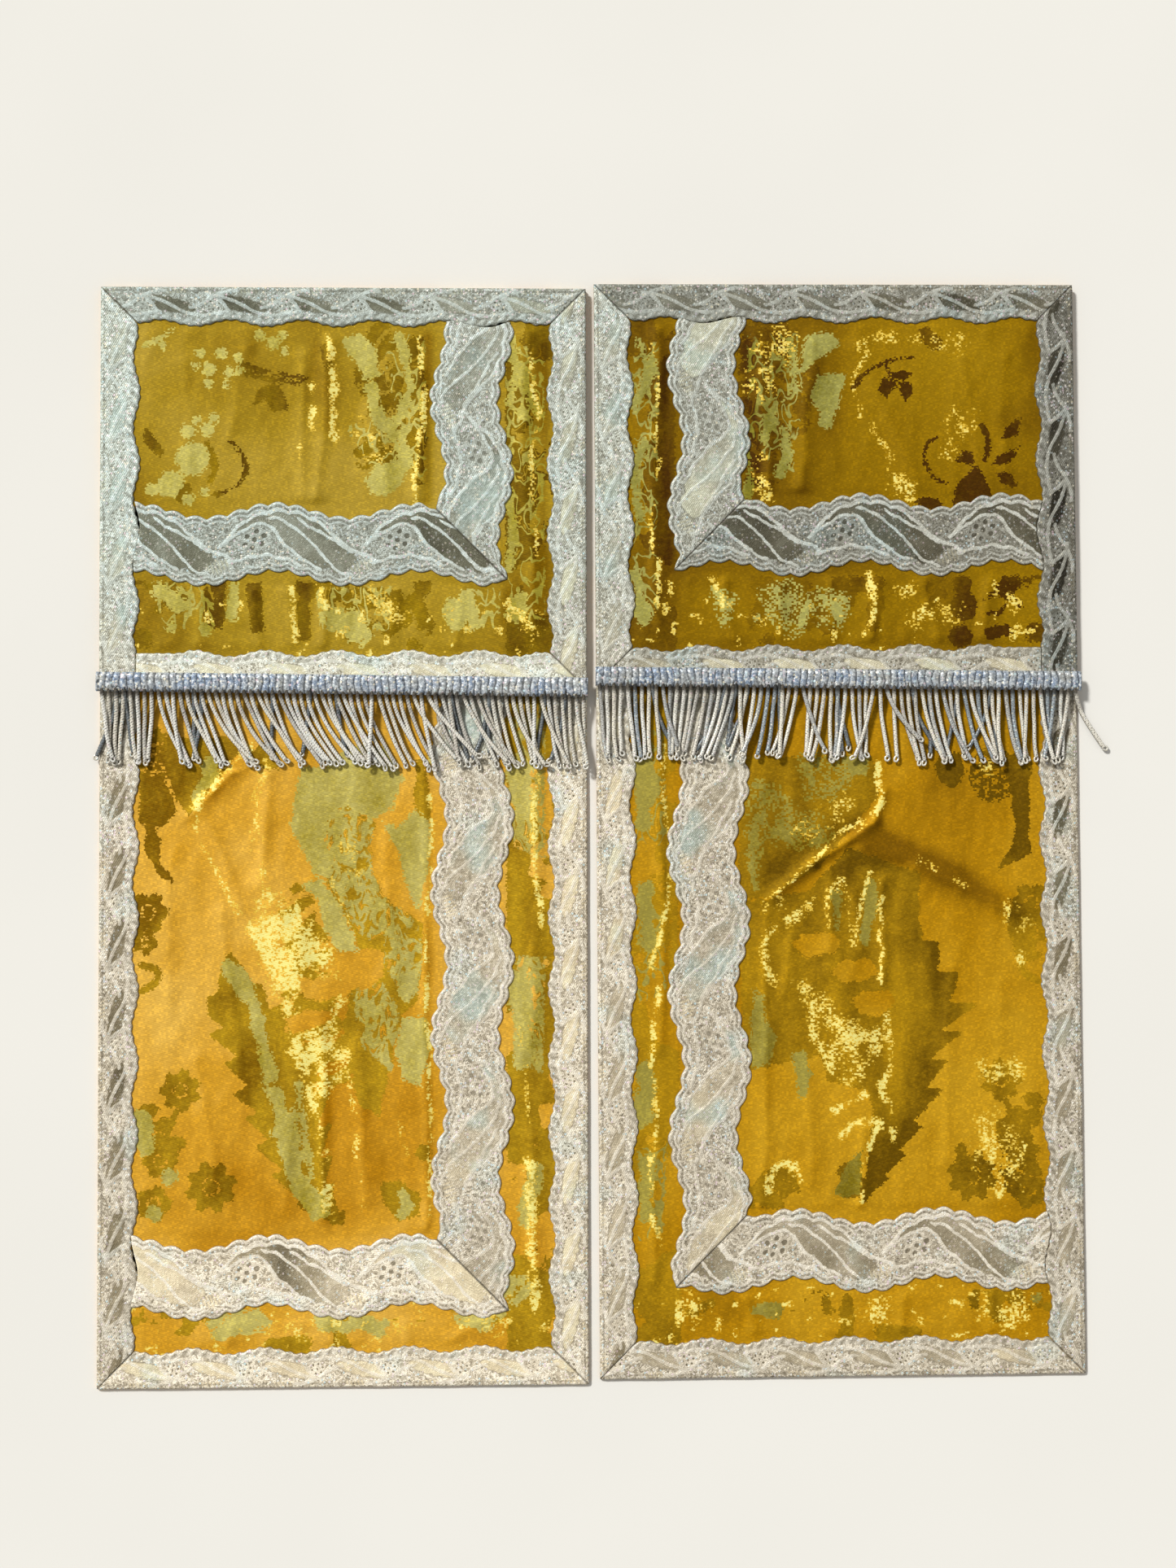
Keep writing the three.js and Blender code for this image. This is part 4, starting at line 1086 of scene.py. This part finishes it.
def galloonMaterial(name, wide):
    material, tree, shader = newMaterial(name)
    flat, spot = flatCoord(tree), pieceCoord(tree)
    leaf, line, berry, hatch = (attribute(tree, key) for key in ("leaf", "line", "berry", "hatch"))
    edge, outerEdge, seam, rope = (attribute(tree, key) for key in ("edge", "outerEdge", "seam", "rope"))
    light, paintedLightLevel, clear = (attribute(tree, key) for key in ("light", "paintedLightLevel", "clear"))
    speck = noise(tree, spot, 560.0, 2.0, 0.7, 0.8)
    cloud = noise(tree, spot, 30.0, 2.0)
    twill = place(tree, threadsGroup, {"Coord": flat, "Pitch": 0.0011, "Slant": (0.5, 0.86, 0.0)})
    ribs = place(tree, threadsGroup, {"Coord": flat, "Pitch": 0.0022, "Slant": (0.95, 0.3, 0.0)})
    squiggle = nearTo(tree, noise(tree, spot, 300.0, 2.0, 0.6, 0.6), 0.5, 0.07, 0.02)
    squiggle = times(tree, squiggle, ramped(tree, speck, 0.3, 0.55, 0.55, 1.0))
    # soft and white carry the strip's painted light level, eased
    soft = sums(tree, "POWER", paintedLightLevel, 0.4)
    white = tinted(tree, tone(255, 254, 250), soft)
    # open ground with crinkled threads, and satin leaves
    ground = shaded(tree, speck, [(0.34, (140, 134, 122)), (0.46, (186, 180, 168)),
                                  (0.62, (214, 208, 195))])
    ground = blended(tree, squiggle, ground, tone(255, 252, 244))
    satin = shaded(tree, light, satinStops)
    satin = tinted(tree, satin, tone(170, 166, 156), ramped(tree, twill["Shade"], 0.1, 0.8, 0.3, 0.0))
    satin = tinted(tree, satin, tone(176, 170, 158), ramped(tree, speck, 0.35, 0.6, 0.3, 0.0))
    # painted bluish sheen on the satin in drifts
    bluishSheen = times(tree, ramped(tree, cloud, 0.46, 0.6, 0.0, 0.7), ramped(tree, clear, 0.85, 0.6))
    satin = blended(tree, bluishSheen, satin, tone(198, 222, 222))
    leafMask = times(tree, ramped(tree, leaf, -0.3, 0.3), clear)
    base = blended(tree, leafMask, ground, satin)
    rim = times(tree, ramped(tree, leaf, -0.9, -0.2), ramped(tree, leaf, 0.7, 0.1), clear, 0.5)
    base = blended(tree, rim, base, tone(150, 142, 126))
    hatched = times(tree, ramped(tree, hatch, 0.0, 0.4), ribs["Shade"], clamp=True)
    base = blended(tree, times(tree, hatched, 0.8), base, tone(255, 244, 214))
    halo = times(tree, ramped(tree, berry, 1.9, 1.35, 0.0, 0.7), clear)
    base = blended(tree, halo, base, tone(240, 236, 227))
    pit = times(tree, ramped(tree, berry, 1.05, 0.7, 0.0, 0.9), clear)
    base = blended(tree, pit, base, tone(122, 114, 96))
    # painted light: each strip is darkened to its own light level
    base = tinted(tree, base, paintedLightLevel)
    # satin that faces the light
    caught = times(tree, ramped(tree, light, 0.66, 0.95, 0.0, 0.85), ramped(tree, leaf, 0.2, 1.2), clear)
    caught = times(tree, caught, ramped(tree, twill["Shade"], 0.0, 0.6, 0.5, 1.0))
    base = blended(tree, caught, base, tone(255, 249, 226))
    broken = ramped(tree, speck, 0.3, 0.5, 0.55, 1.0)
    if wide:  # white cord, a gap and a thin arc along each scalloped edge
        gap = times(tree, ramped(tree, edge, 1.8, 2.5), ramped(tree, edge, 4.0, 3.2), 0.4)
        base = blended(tree, gap, base, tone(128, 123, 112))
        arc = times(tree, ramped(tree, edge, 3.4, 4.0), ramped(tree, edge, 5.3, 4.6), 0.7, broken)
        base = blended(tree, arc, base, white)
        # painted highlight and shade: the cord's lumps white on top, darker between them
        cord = blended(tree, rope, tinted(tree, tone(218, 214, 206), soft), white)
        cordMask = times(tree, ramped(tree, edge, 2.3, 1.7), ramped(tree, speck, 0.3, 0.5, 0.5, 0.95))
        base = blended(tree, cordMask, base, cord)
    else:  # lumpy rope on the wavy side, a stitched line by the straight edge
        worn = ramped(tree, speck, 0.3, 0.5, 0.5, 1.0)
        ropeMask = times(tree, ramped(tree, edge, 5.2, 4.2, 0.0, 0.6), worn)
        # painted highlight and shade: the rope's lumps white on top, grey between them
        twist = blended(tree, rope, tinted(tree, tone(150, 146, 134), soft), white)
        base = blended(tree, ropeMask, base, twist)
        stitch = times(tree, ramped(tree, outerEdge, 1.5, 2.0), ramped(tree, outerEdge, 3.2, 2.7), 0.4)
        base = blended(tree, stitch, base, tone(112, 106, 94))
    bright = times(tree, ramped(tree, line, 1.35, 0.75, 0.0, 1.0 if wide else 0.65), broken, clear)
    base = blended(tree, bright, base, white)
    # painted tint of reflected light: cooler towards the upper left and in drifts, creamier below
    places = put(tree, "ShaderNodeSeparateXYZ", {"Vector": spot}).outputs
    coolReflection = times(tree, ramped(tree, places["Y"], 0.0, 0.2), ramped(tree, places["X"], 0.3, -0.25, 0.4, 1.0))
    coolReflection = sums(tree, "ADD", coolReflection, ramped(tree, cloud, 0.54, 0.68, 0.0, 0.45), clamp=True)
    base = tinted(tree, base, blended(tree, coolReflection, tone(255, 246, 228), tone(234, 249, 245)))
    dim = ramped(tree, noise(tree, spot, 170.0), 0.36, 0.64, 0.42, 0.0)
    base = tinted(tree, base, tone(196, 190, 178), dim)
    amount = ramped(tree, cloud, 0.3, 0.7, 0.12, 0.36)
    glints = place(tree, glintsGroup, {"Coord": spot, "Scale": 700.0, "Amount": amount})
    fleck = times(tree, glints["Mask"], sums(tree, "MULTIPLY_ADD", leafMask, -0.5, 0.8))
    base = blended(tree, fleck, base, tinted(tree, glints["Tint"], soft))
    base = blended(tree, ramped(tree, seam, 0.9, 0.3, 0.0, 0.6 if wide else 0.45), base, tone(88, 82, 70))
    # painted shadow along the scalloped edge
    base = blended(tree, ramped(tree, edge, 0.5, 0.1, 0.0, 0.6), base, tone(76, 66, 46))
    fine = sums(tree, "MULTIPLY_ADD", speck, 0.4, times(tree, twill["Height"], 0.3))
    height = sums(tree, "MULTIPLY_ADD", squiggle, 0.6, fine)
    shader.inputs["Specular IOR Level"].default_value = 0.3
    finishWith(tree, shader, base, ramped(tree, speck, 0.3, 0.7, 0.52, 0.36), 0.15, height, 0.0004)
    return material


wideFinish = galloonMaterial("wideSilverGalloon", True)
narrowFinish = galloonMaterial("narrowSilverGalloon", False)


def stripRows(length, seen, cell):
    # places along a strip, as shares of its length: close where it shows, wide apart under the valance
    if seen >= length:
        return np.linspace(0, 1, int(length / cell) + 1)
    close = np.linspace(0, seen, int(seen / cell) + 1)
    apart = np.linspace(seen, length, int((length - seen) / galloon["hiddenStep"]) + 2)[1:]
    return np.concatenate([close, apart]) / length


def borderDepth(s, length):
    calm = smooth((np.minimum(s, length - s) - border["width"] - 0.3) / border["settle"])
    return border["width"] - border["wave"] * calm * np.cos(tau * s / border["period"])


def borderStrip(name, part, side, length, mitres, lay, rightWay, shown=None):
    # mitres: at its start and end; lay gives x, y from the distance along and the depth
    # rightWay: anticlockwise on the right half; shown: the length that the valance leaves in sight
    wavy = shown or length
    rows = stripRows(length, wavy + 6, border["cell"])
    columns = np.linspace(0, 1, int(border["width"] / border["cell"]) + 2)
    p, q = np.meshgrid(rows, columns, indexing="ij")
    inset = border["mitreGap"] + q * border["width"]
    start = inset if mitres[0] else 0 * q
    end = length - inset if mitres[1] else length + 0 * q
    s = start + p * (end - start)
    depth = np.where(s < wavy, borderDepth(np.minimum(s, wavy), wavy), border["width"])
    lump = 0.45 * np.cos(tau * s / (band["scallop"] / 2)) * smooth((q - 0.8) / 0.2)
    lump *= smooth(np.minimum(s, length - s) / 30)
    x, y = lay(s, q * depth + lump * (s < wavy))
    plain = galloon["noSeam"] + 0 * s
    seam = np.minimum(s - start if mitres[0] else plain, end - s if mitres[1] else plain)
    way = 1 if rightWay == (halves[name]["side"] > 0) else -1
    # the berries stand a little before the widest place
    a = way * (s - border["period"] / 2) + border["phase"]
    spots = dict(x=x, y=y, a=a, v=q * depth, share=s / wavy)
    edges = dict(edge=(1 - q) * depth, outerEdge=q * depth, seam=seam * galloon["seamSlope"])
    return galloonPiece(name, part, "border", side, bool(shown), **spots, **edges)


def bandLeg(name, part, leg, endAt, shown=None):
    # endAt gives the leg's length at a place across it; shown: the length that the valance leaves in sight
    side, spot = halves[name]["side"], halves[name][part + "Band"]
    reach = band["width"] / 2
    longest = max(endAt(-reach), endAt(reach)) + reach
    rows = stripRows(longest, (shown or longest) + reach + 8, band["cell"])
    columns = np.linspace(-1, 1, int(band["width"] / band["cell"]) + 1)
    p, q = np.meshgrid(rows, columns, indexing="ij")
    start = q * reach + band["mitreGap"]
    crest = spot[leg + "Crest"] - spot["y" if leg == "upright" else "x"]
    s = start + p * (endAt(q * reach) - start)
    calm = smooth((s - start) / band["settle"]) * smooth(((shown or far) - s) / band["settle"])
    swing = band["wave"] * np.cos(tau * (s - crest) / band["period"])
    dip = band["dip"] * (1 - np.abs(np.sin(math.pi * s / band["scallop"])))
    across = q * (reach - calm * dip) + calm * swing
    edge = (1 - np.abs(q)) * (reach - calm * dip)
    v = q * reach
    if leg == "upright":
        x, y = spot["x"] + across, spot["y"] + s
        a = -(s - crest) + band["phase"] + (0 if side > 0 else band["period"] / 2)
        v = v if side > 0 else -v
    else:
        x, y = spot["x"] + s, spot["y"] + across
        a = side * (s - crest) + band["phase"]
    spots = dict(x=x, y=y, a=a, v=v, share=s / (shown or longest))
    edges = dict(edge=edge, outerEdge=edge, seam=(s - start) * galloon["seamSlope"])
    return galloonPiece(name, part, "band", leg, bool(shown), **spots, **edges)


width, height, drop = half["width"], half["height"], half["valance"]
butt = width - border["width"] - 2 * band["endGap"]
# border strips: side, length, mitres, how it is laid, which way round, length in sight
borderRuns = {
    "valance": [
        ("top", width, (True, True), lambda s, d: (s, height - d), False),
        ("opening", drop, (True, True), lambda s, d: (d, height - s), True),
        ("outer", drop, (True, False), lambda s, d: (width - d, height - s), False),
        ("bottom", butt, (True, False), lambda s, d: (s, valanceFoot + d), True),
    ],
    "veil": [
        ("opening", height, (True, False), lambda s, d: (d, s), False, valanceFoot),
        ("outer", height, (True, False), lambda s, d: (width - d, s), True, valanceFoot),
        ("bottom", width, (True, True), lambda s, d: (s, d), True),
    ],
}


def bandEnds(part, spot):
    # where the upright and the cross leg end, by the place across them
    if part == "veil":
        upright = lambda c: height - spot["y"] + 0 * c
        cross = lambda c: width - borderDepth(spot["y"] + c, valanceFoot) - band["endGap"] - spot["x"]
    else:
        upright = lambda c: height - borderDepth(spot["x"] + c, width) - band["endGap"] - spot["y"]
        cross = lambda c: width - borderDepth(height - spot["y"] - c, drop) - band["endGap"] - spot["x"]
    return upright, cross


trims = {}
for name, h in halves.items():
    for part, runs in borderRuns.items():
        trims[name, part] = [borderStrip(name, part, *run) for run in runs]
    for part in borderRuns:
        spot = h[part + "Band"]
        upright, cross = bandEnds(part, spot)
        shown = valanceFoot - spot["y"] if part == "veil" else None
        trims[name, part].append(bandLeg(name, part, "upright", upright, shown))
        trims[name, part].append(bandLeg(name, part, "cross", cross))
print("galloons sewn on")

# Bullion fringe

fringe = dict(
    count=69, thick=2.95, length=42.0, tipSpacing=2.9, beneath=12, crossing=0.22, overhang=3.0, lay=3.4,
    under=3.3, rest=3.75, over=6.7, rings=68, sides=8, loopSteps=12, wireSides=6, wire=0.68,
    tapeHeight=12.0, tapeThick=2.6, tapeSteps=560,
)
# how each fringe lies: its turn, clumps as strands and sweep, and strays as strand, sweep and reach
fringeLies = {
    "left": dict(
        turn=0.013, loose=False, tint=0.16, tapeShade=0.0,
        clumps=[(3, -2), (5, -7), (4, -10), (6, -14), (5, -16), (6, -18), (4, -19), (6, -21), (5, -23),
                (6, -21), (4, -19), (3, -17), (4, -14), (4, -1), (4, 1)],
        strays=[(22, -31, 37), (24, -27, 39), (30, 1, 43)],
    ),
    "right": dict(
        turn=-0.013, loose=True, tint=-0.06, tapeShade=0.1,
        clumps=[(4, 2), (4, 3), (3, 1), (4, -5), (5, -9), (5, -10), (4, -8), (3, -3), (4, -1), (4, 2),
                (3, 4), (5, 7), (4, 9), (5, 10), (4, 8), (3, 4), (5, 2)],
        strays=[(9, 9, 37), (23, -11, 40), (29, 14, 38), (41, 20, 31)],
    ),
}


def bullionMaterial():
    material, tree, shader = newMaterial("silverBullion")
    spot = pieceCoord(tree)
    grooveShade, shift, paintedShade = attribute(tree, "grooveShade"), attribute(tree, "shift"), attribute(tree, "paintedShade")
    speck = noise(tree, spot, 900.0)
    body = shaded(tree, shift, [
        (0.0, (168, 178, 182)), (0.2, (224, 217, 202)), (0.5, (254, 246, 225)), (1.0, (255, 252, 240)),
    ])
    body = blended(tree, ramped(tree, speck, 0.52, 0.3, 0.0, 0.5), body, tone(136, 128, 112))
    # painted shade in the grooves of the twist
    base = blended(tree, ramped(tree, grooveShade, 0.35, 0.9), body, tone(58, 50, 38))
    glints = place(tree, glintsGroup, {"Coord": spot, "Scale": 820.0, "Amount": 0.24})
    base = blended(tree, times(tree, glints["Mask"], 0.8), base, glints["Tint"])
    # painted shade on the strands' sides, undersides and roots
    base = tinted(tree, base, tone(66, 58, 46), ramped(tree, paintedShade, 0.0, 1.0, 0.0, 0.92))
    finishWith(tree, shader, base, ramped(tree, speck, 0.3, 0.7, 0.42, 0.26), 0.2, speck, 0.0003, 0.5)
    return material


def headingMaterial():
    material, tree, shader = newMaterial("blueSilverHeading")
    spot = pieceCoord(tree)
    grooveShade, paintedShade = attribute(tree, "grooveShade"), attribute(tree, "paintedShade")
    speck = noise(tree, spot, 560.0, 2.0, 0.75)
    patch = noise(tree, spot, 90.0)
    body = shaded(tree, patch, [(0.36, (138, 156, 178)), (0.5, (164, 172, 178)), (0.64, (174, 175, 168))])
    body = blended(tree, ramped(tree, speck, 0.46, 0.68), body, tone(226, 230, 230))
    body = blended(tree, ramped(tree, speck, 0.46, 0.3, 0.0, 0.9), body, tone(84, 88, 96))
    # painted shade in the grooves between the ribs
    base = blended(tree, ramped(tree, grooveShade, 0.2, 0.9, 0.0, 0.95), body, tone(50, 52, 56))
    glints = place(tree, glintsGroup, {"Coord": spot, "Scale": 640.0, "Amount": 0.26})
    base = blended(tree, times(tree, glints["Mask"], 0.75), base, glints["Tint"])
    # painted shade over the whole heading, set for each half
    base = tinted(tree, base, tone(150, 142, 124), paintedShade)
    finishWith(tree, shader, base, ramped(tree, speck, 0.3, 0.7, 0.5, 0.32), 0.2, speck, 0.0006)
    return material


bullionFinish, headingFinish = bullionMaterial(), headingMaterial()


def strandPlaces(lie, rng):
    pitch = half["width"] / fringe["count"]
    places = []
    for count, sweep in lie["clumps"]:
        middle = (len(places) + count / 2) * pitch
        for i in range(count):
            root = (len(places) + 0.5) * pitch
            tip = middle + sweep + (i + 0.5 - count / 2) * fringe["tipSpacing"] + rng.normal() * 0.6
            reach = fringe["length"] + rng.normal() * 1.3
            spot = dict(root=root, tip=tip, reach=reach, high=fringe["rest"] + 0.5 * rng.random())
            if rng.random() < fringe["crossing"]:  # a few cross over their neighbours
                aside = rng.choice([-1, 1]) * (4 + 6 * rng.random())
                spot.update(tip=tip + aside, high=fringe["over"] - 0.6)
            places.append(spot)
    # the strands below are painted dark, for the shade beneath the others
    for _ in range(fringe["beneath"]):  # short dark ones below the rest
        root = half["width"] * (0.03 + 0.94 * rng.random())
        tip = root + rng.normal() * 9
        reach = fringe["length"] - 2 - 5 * rng.random()
        places.insert(0, dict(root=root, tip=tip, reach=reach, high=fringe["under"], dark=True))
    for spot in places:
        spot["tip"] = min(max(spot["tip"], -1.0), half["width"] + 1.0)
    for index, sweep, reach in lie["strays"]:
        spot = places[index + fringe["beneath"]]
        spot.update(tip=spot["root"] + sweep, reach=reach, high=fringe["over"])
    if lie["loose"]:
        places[-1].update(tip=places[-1]["root"] + 19, reach=35, high=1.85)
    return places


def tube(centres, radii, angles):
    # rings of points round a path; radii and angles are per ring and side
    ahead = np.gradient(centres, axis=0)
    ahead /= np.linalg.norm(ahead, axis=1, keepdims=True)
    sideways = np.cross(ahead, np.array([0.0, 0.0, 1.0]))
    sideways /= np.linalg.norm(sideways, axis=1, keepdims=True)
    upward = np.cross(sideways, ahead)
    out = np.cos(angles)[..., None] * sideways[:, None] + np.sin(angles)[..., None] * upward[:, None]
    return centres[:, None] + radii[..., None] * out


def fringePiece(name):
    h, lie = halves[name], fringeLies[name]
    rng = np.random.default_rng(5 if name == "left" else 6)
    verts, faces, grooveShades, shifts, paintedShades, slots = [], [], [], [], [], []
    used = 0

    def add(rings, grooveShade, shift, paintedShade, slot, closed=False):
        nonlocal used
        count, sides = rings.shape[:2]
        grid = used + np.arange(count * sides).reshape(count, sides)
        right = np.roll(grid, -1, axis=1)
        ahead = np.roll(grid, -1, axis=0) if closed else grid[1:]
        aheadRight = np.roll(right, -1, axis=0) if closed else right[1:]
        n = len(ahead)
        quads = np.stack([grid[:n], right[:n], aheadRight, ahead], -1).reshape(-1, 4)
        faces.extend(quads.tolist())
        if not closed:
            faces.extend([grid[0][::-1].tolist(), grid[-1].tolist()])
        slots.extend([slot] * (len(quads) + (0 if closed else 2)))
        verts.append(rings.reshape(-1, 3))
        grooveShades.append(np.broadcast_to(grooveShade, (count, sides)).ravel())
        shifts.append(np.full(count * sides, shift))
        paintedShades.append(np.broadcast_to(paintedShade, (count, sides)).ravel())
        used += count * sides

    tapeMiddle = levels["tapeBack"] + fringe["tapeThick"] / 2
    for spot in strandPlaces(lie, rng):
        dark = "dark" in spot
        t = np.linspace(-0.09, 1, fringe["rings"])
        run = np.clip(t, 0, 1)
        phase, sway = rng.random() * tau, 0.25 + 0.6 * rng.random()
        bow, beat = 1.2 + 0.5 * rng.random(), 4 + 3 * rng.random()
        x = spot["root"] + (spot["tip"] - spot["root"]) * run ** bow + sway * run * np.sin(run * beat + phase)
        y = -spot["reach"] * t
        z = spot["high"] + (tapeMiddle - spot["high"]) * (1 - smooth(run / 0.42))
        z += 0.25 * run * np.sin(run * 7 + phase)
        centres = np.stack([x, y, z], -1)
        sides = np.arange(fringe["sides"]) / fringe["sides"] * tau
        lengths = np.concatenate([[0], np.cumsum(np.linalg.norm(np.diff(centres, axis=0), axis=1))])
        ply = sides[None] - (tau * lengths / fringe["lay"] + phase)[:, None]
        lobe = np.abs(np.cos(ply))
        radii = fringe["thick"] / 2 * (0.74 + 0.26 * lobe) * (0.93 + 0.14 * rng.random())
        # the strands below take the darkest tint, as painted shade
        tint = 0.0 if dark else min(max(rng.random() + lie["tint"], 0), 1)
        # painted shade: the sides, the underside and the root are darker, and the strands below darker still
        under = np.maximum(smooth(0.72 - np.sin(sides))[None], 0.55 * dark)
        paintedShade = np.maximum((1 - smooth(t / 0.14))[:, None], under)
        # painted shade in the grooves of the twist
        add(tube(centres, radii, np.broadcast_to(sides, ply.shape)), 1 - lobe, tint, paintedShade, 0)
        # small loop at the end, lying along the strand
        way = Vector(centres[-1] - centres[-4]).normalized()
        way = Matrix.Rotation(rng.normal() * 0.45, 3, "Z") @ way
        long, broad = 1.3 + 0.5 * rng.random(), 0.95 + 0.4 * rng.random()
        ahead, aside, upward = np.array(way), np.array(way.cross(Vector((0, 0, 1)))), np.array([0, 0, 1.0])
        eye = centres[-1] + ahead * (long - 0.4)
        eye[2] = max(eye[2], 1.0)
        turn = np.arange(fringe["loopSteps"]) / fringe["loopSteps"] * tau
        out = np.cos(turn)[:, None] * ahead + np.sin(turn)[:, None] * aside
        ring = eye + out * np.where(np.abs(np.cos(turn)) > 0.7, long, broad)[:, None]
        small = np.arange(fringe["wireSides"]) / fringe["wireSides"] * tau
        swell = np.cos(small)[None, :, None] * out[:, None] + np.sin(small)[None, :, None] * upward
        # painted shade in the twists of the loop's wire and on its underside
        twist, shade = 0.5 + 0.5 * np.sin(turn * 6)[:, None], smooth((0.3 - np.sin(small)) / 1.1)[None]
        add(ring[:, None] + fringe["wire"] * swell, twist, 0.4 + 0.6 * tint, shade, 0, True)

    # ribbed heading: one rounded rib for each strand
    shares = [0.0, 0.02, 0.08, 0.18, 0.3, 0.42, 0.52, 0.62, 0.73, 0.85, 0.94, 0.98, 1.0]
    across = fringe["tapeHeight"] * np.array(shares)
    xs = np.linspace(-0.5, half["width"] + 1.5, fringe["tapeSteps"])
    gx, gy = np.meshgrid(xs, across, indexing="ij")
    lean = gx + 0.4 * np.sin(gy * 0.5 + gx * 0.05) + 0.5 * lumps(gx, gy, 6.0, 4)
    rib = np.abs(np.sin(math.pi * lean / (half["width"] / fringe["count"])))
    pillow = np.minimum(gy, fringe["tapeHeight"] - gy)
    rise = fringe["tapeThick"] * (0.45 + 0.55 * smooth(pillow / 1.6)) + 0.7 * rib ** 0.7 - 0.6
    rise += 0.22 * lumps(gx, gy, 2.0, 3)
    front = np.stack([gx, gy, levels["tapeBack"] + rise], -1)
    backs = np.stack([gx, gy, np.full(gx.shape, levels["tapeBack"])], -1)[:, ::-1]
    rings = np.concatenate([front, backs[:, 1:-1]], axis=1)[:, ::-1]
    # painted shade between the ribs, and on the back
    grooveShade = np.concatenate([1 - rib ** 0.6, np.ones((len(xs), len(across) - 2))], axis=1)[:, ::-1]
    add(rings, grooveShade, 0.5, lie["tapeShade"], 1)

    points = np.vstack(verts)
    c, s = math.cos(lie["turn"]), math.sin(lie["turn"])
    px = points[:, 0] * c - points[:, 1] * s
    py = points[:, 0] * s + points[:, 1] * c + valanceFoot - fringe["overhang"] - s * half["width"] / 2
    placed = toFrame(h, px, py, points[:, 2])
    if h["side"] > 0:
        faces = [f[::-1] for f in faces]
    mesh = bpy.data.meshes.new(name + "Fringe")
    mesh.from_pydata(placed.tolist(), [], faces)
    mesh.polygons.foreach_set("use_smooth", np.ones(len(faces), bool))
    mesh.polygons.foreach_set("material_index", np.array(slots, np.int32))
    for key, values in (("grooveShade", grooveShades), ("shift", shifts), ("paintedShade", paintedShades)):
        spread = np.concatenate(values).astype(np.float32)
        mesh.attributes.new(key, "FLOAT", "POINT").data.foreach_set("value", spread)
    piece = bpy.data.objects.new(name + "Fringe", mesh)
    scene.collection.objects.link(piece)
    return seat(piece, f"{name}_fringe", "bullion", bullionFinish, headingFinish)


fringes = {name: fringePiece(name) for name in halves}
print("fringes hung")

# Stage: pale floor, soft light from the upper left, camera square above

stage = dict(
    floor=(243, 240, 231), reach=6.0, low=-0.0004, sun=3.1, sunWay=(0.55, -0.6, -0.7), sunSize=9.0, sky=0.35,
)
floorMesh = bpy.data.meshes.new("floor")
reach, low = stage["reach"], stage["low"]
corners = [(-reach, -reach, low), (reach, -reach, low), (reach, reach, low), (-reach, reach, low)]
floorMesh.from_pydata(corners, [], [(0, 1, 2, 3)])
floor = bpy.data.objects.new("floor", floorMesh)
scene.collection.objects.link(floor)
paper, tree, shader = newMaterial("palePaper")
grain = put(tree, "ShaderNodeTexNoise", {"Scale": 60.0, "Detail": 2.0}).outputs["Fac"]
shade = [c - 2 for c in stage["floor"]]
sheetColour = blended(tree, ramped(tree, grain, 0.3, 0.7), tone(*shade), tone(*stage["floor"]))
tree.links.new(sheetColour, shader.inputs["Base Color"])
shader.inputs["Roughness"].default_value = 0.95
shader.inputs["Specular IOR Level"].default_value = 0.1
floorMesh.materials.append(paper)

world = bpy.data.worlds.new("softRoom")
world.use_nodes = True
world.node_tree.nodes["Background"].inputs["Color"].default_value = (1.0, 1.0, 1.0, 1)
world.node_tree.nodes["Background"].inputs["Strength"].default_value = stage["sky"]
scene.world = world
lamp = bpy.data.lights.new("keyLight", "SUN")
lamp.energy, lamp.angle = stage["sun"], math.radians(stage["sunSize"])
key = bpy.data.objects.new("keyLight", lamp)
key.rotation_euler = Vector(stage["sunWay"]).to_track_quat("-Z", "Y").to_euler()
scene.collection.objects.link(key)

view = dict(aim=(-10.1, 28.0, 4.0), distance=1258.0, pitch=-1.903, yaw=1.571, lens=46.705)
sp, cp = math.sin(math.radians(view["pitch"])), math.cos(math.radians(view["pitch"]))
sy, cy = math.sin(math.radians(view["yaw"])), math.cos(math.radians(view["yaw"]))
right, up, backward = Vector((cy, sy * sp, sy * cp)), Vector((0, cp, -sp)), Vector((-sy, cy * sp, cy * cp))
lens = bpy.data.cameras.new("camera")
lens.sensor_width, lens.lens = 36.0, view["lens"]
camera = bpy.data.objects.new("camera", lens)
spot = (Vector(view["aim"]) + backward * view["distance"]) * mm
camera.matrix_world = Matrix.Translation(spot) @ Matrix((right, up, backward)).transposed().to_4x4()
scene.collection.objects.link(camera)
scene.camera = camera
scene.view_settings.view_transform = "Standard"
print("stage set")
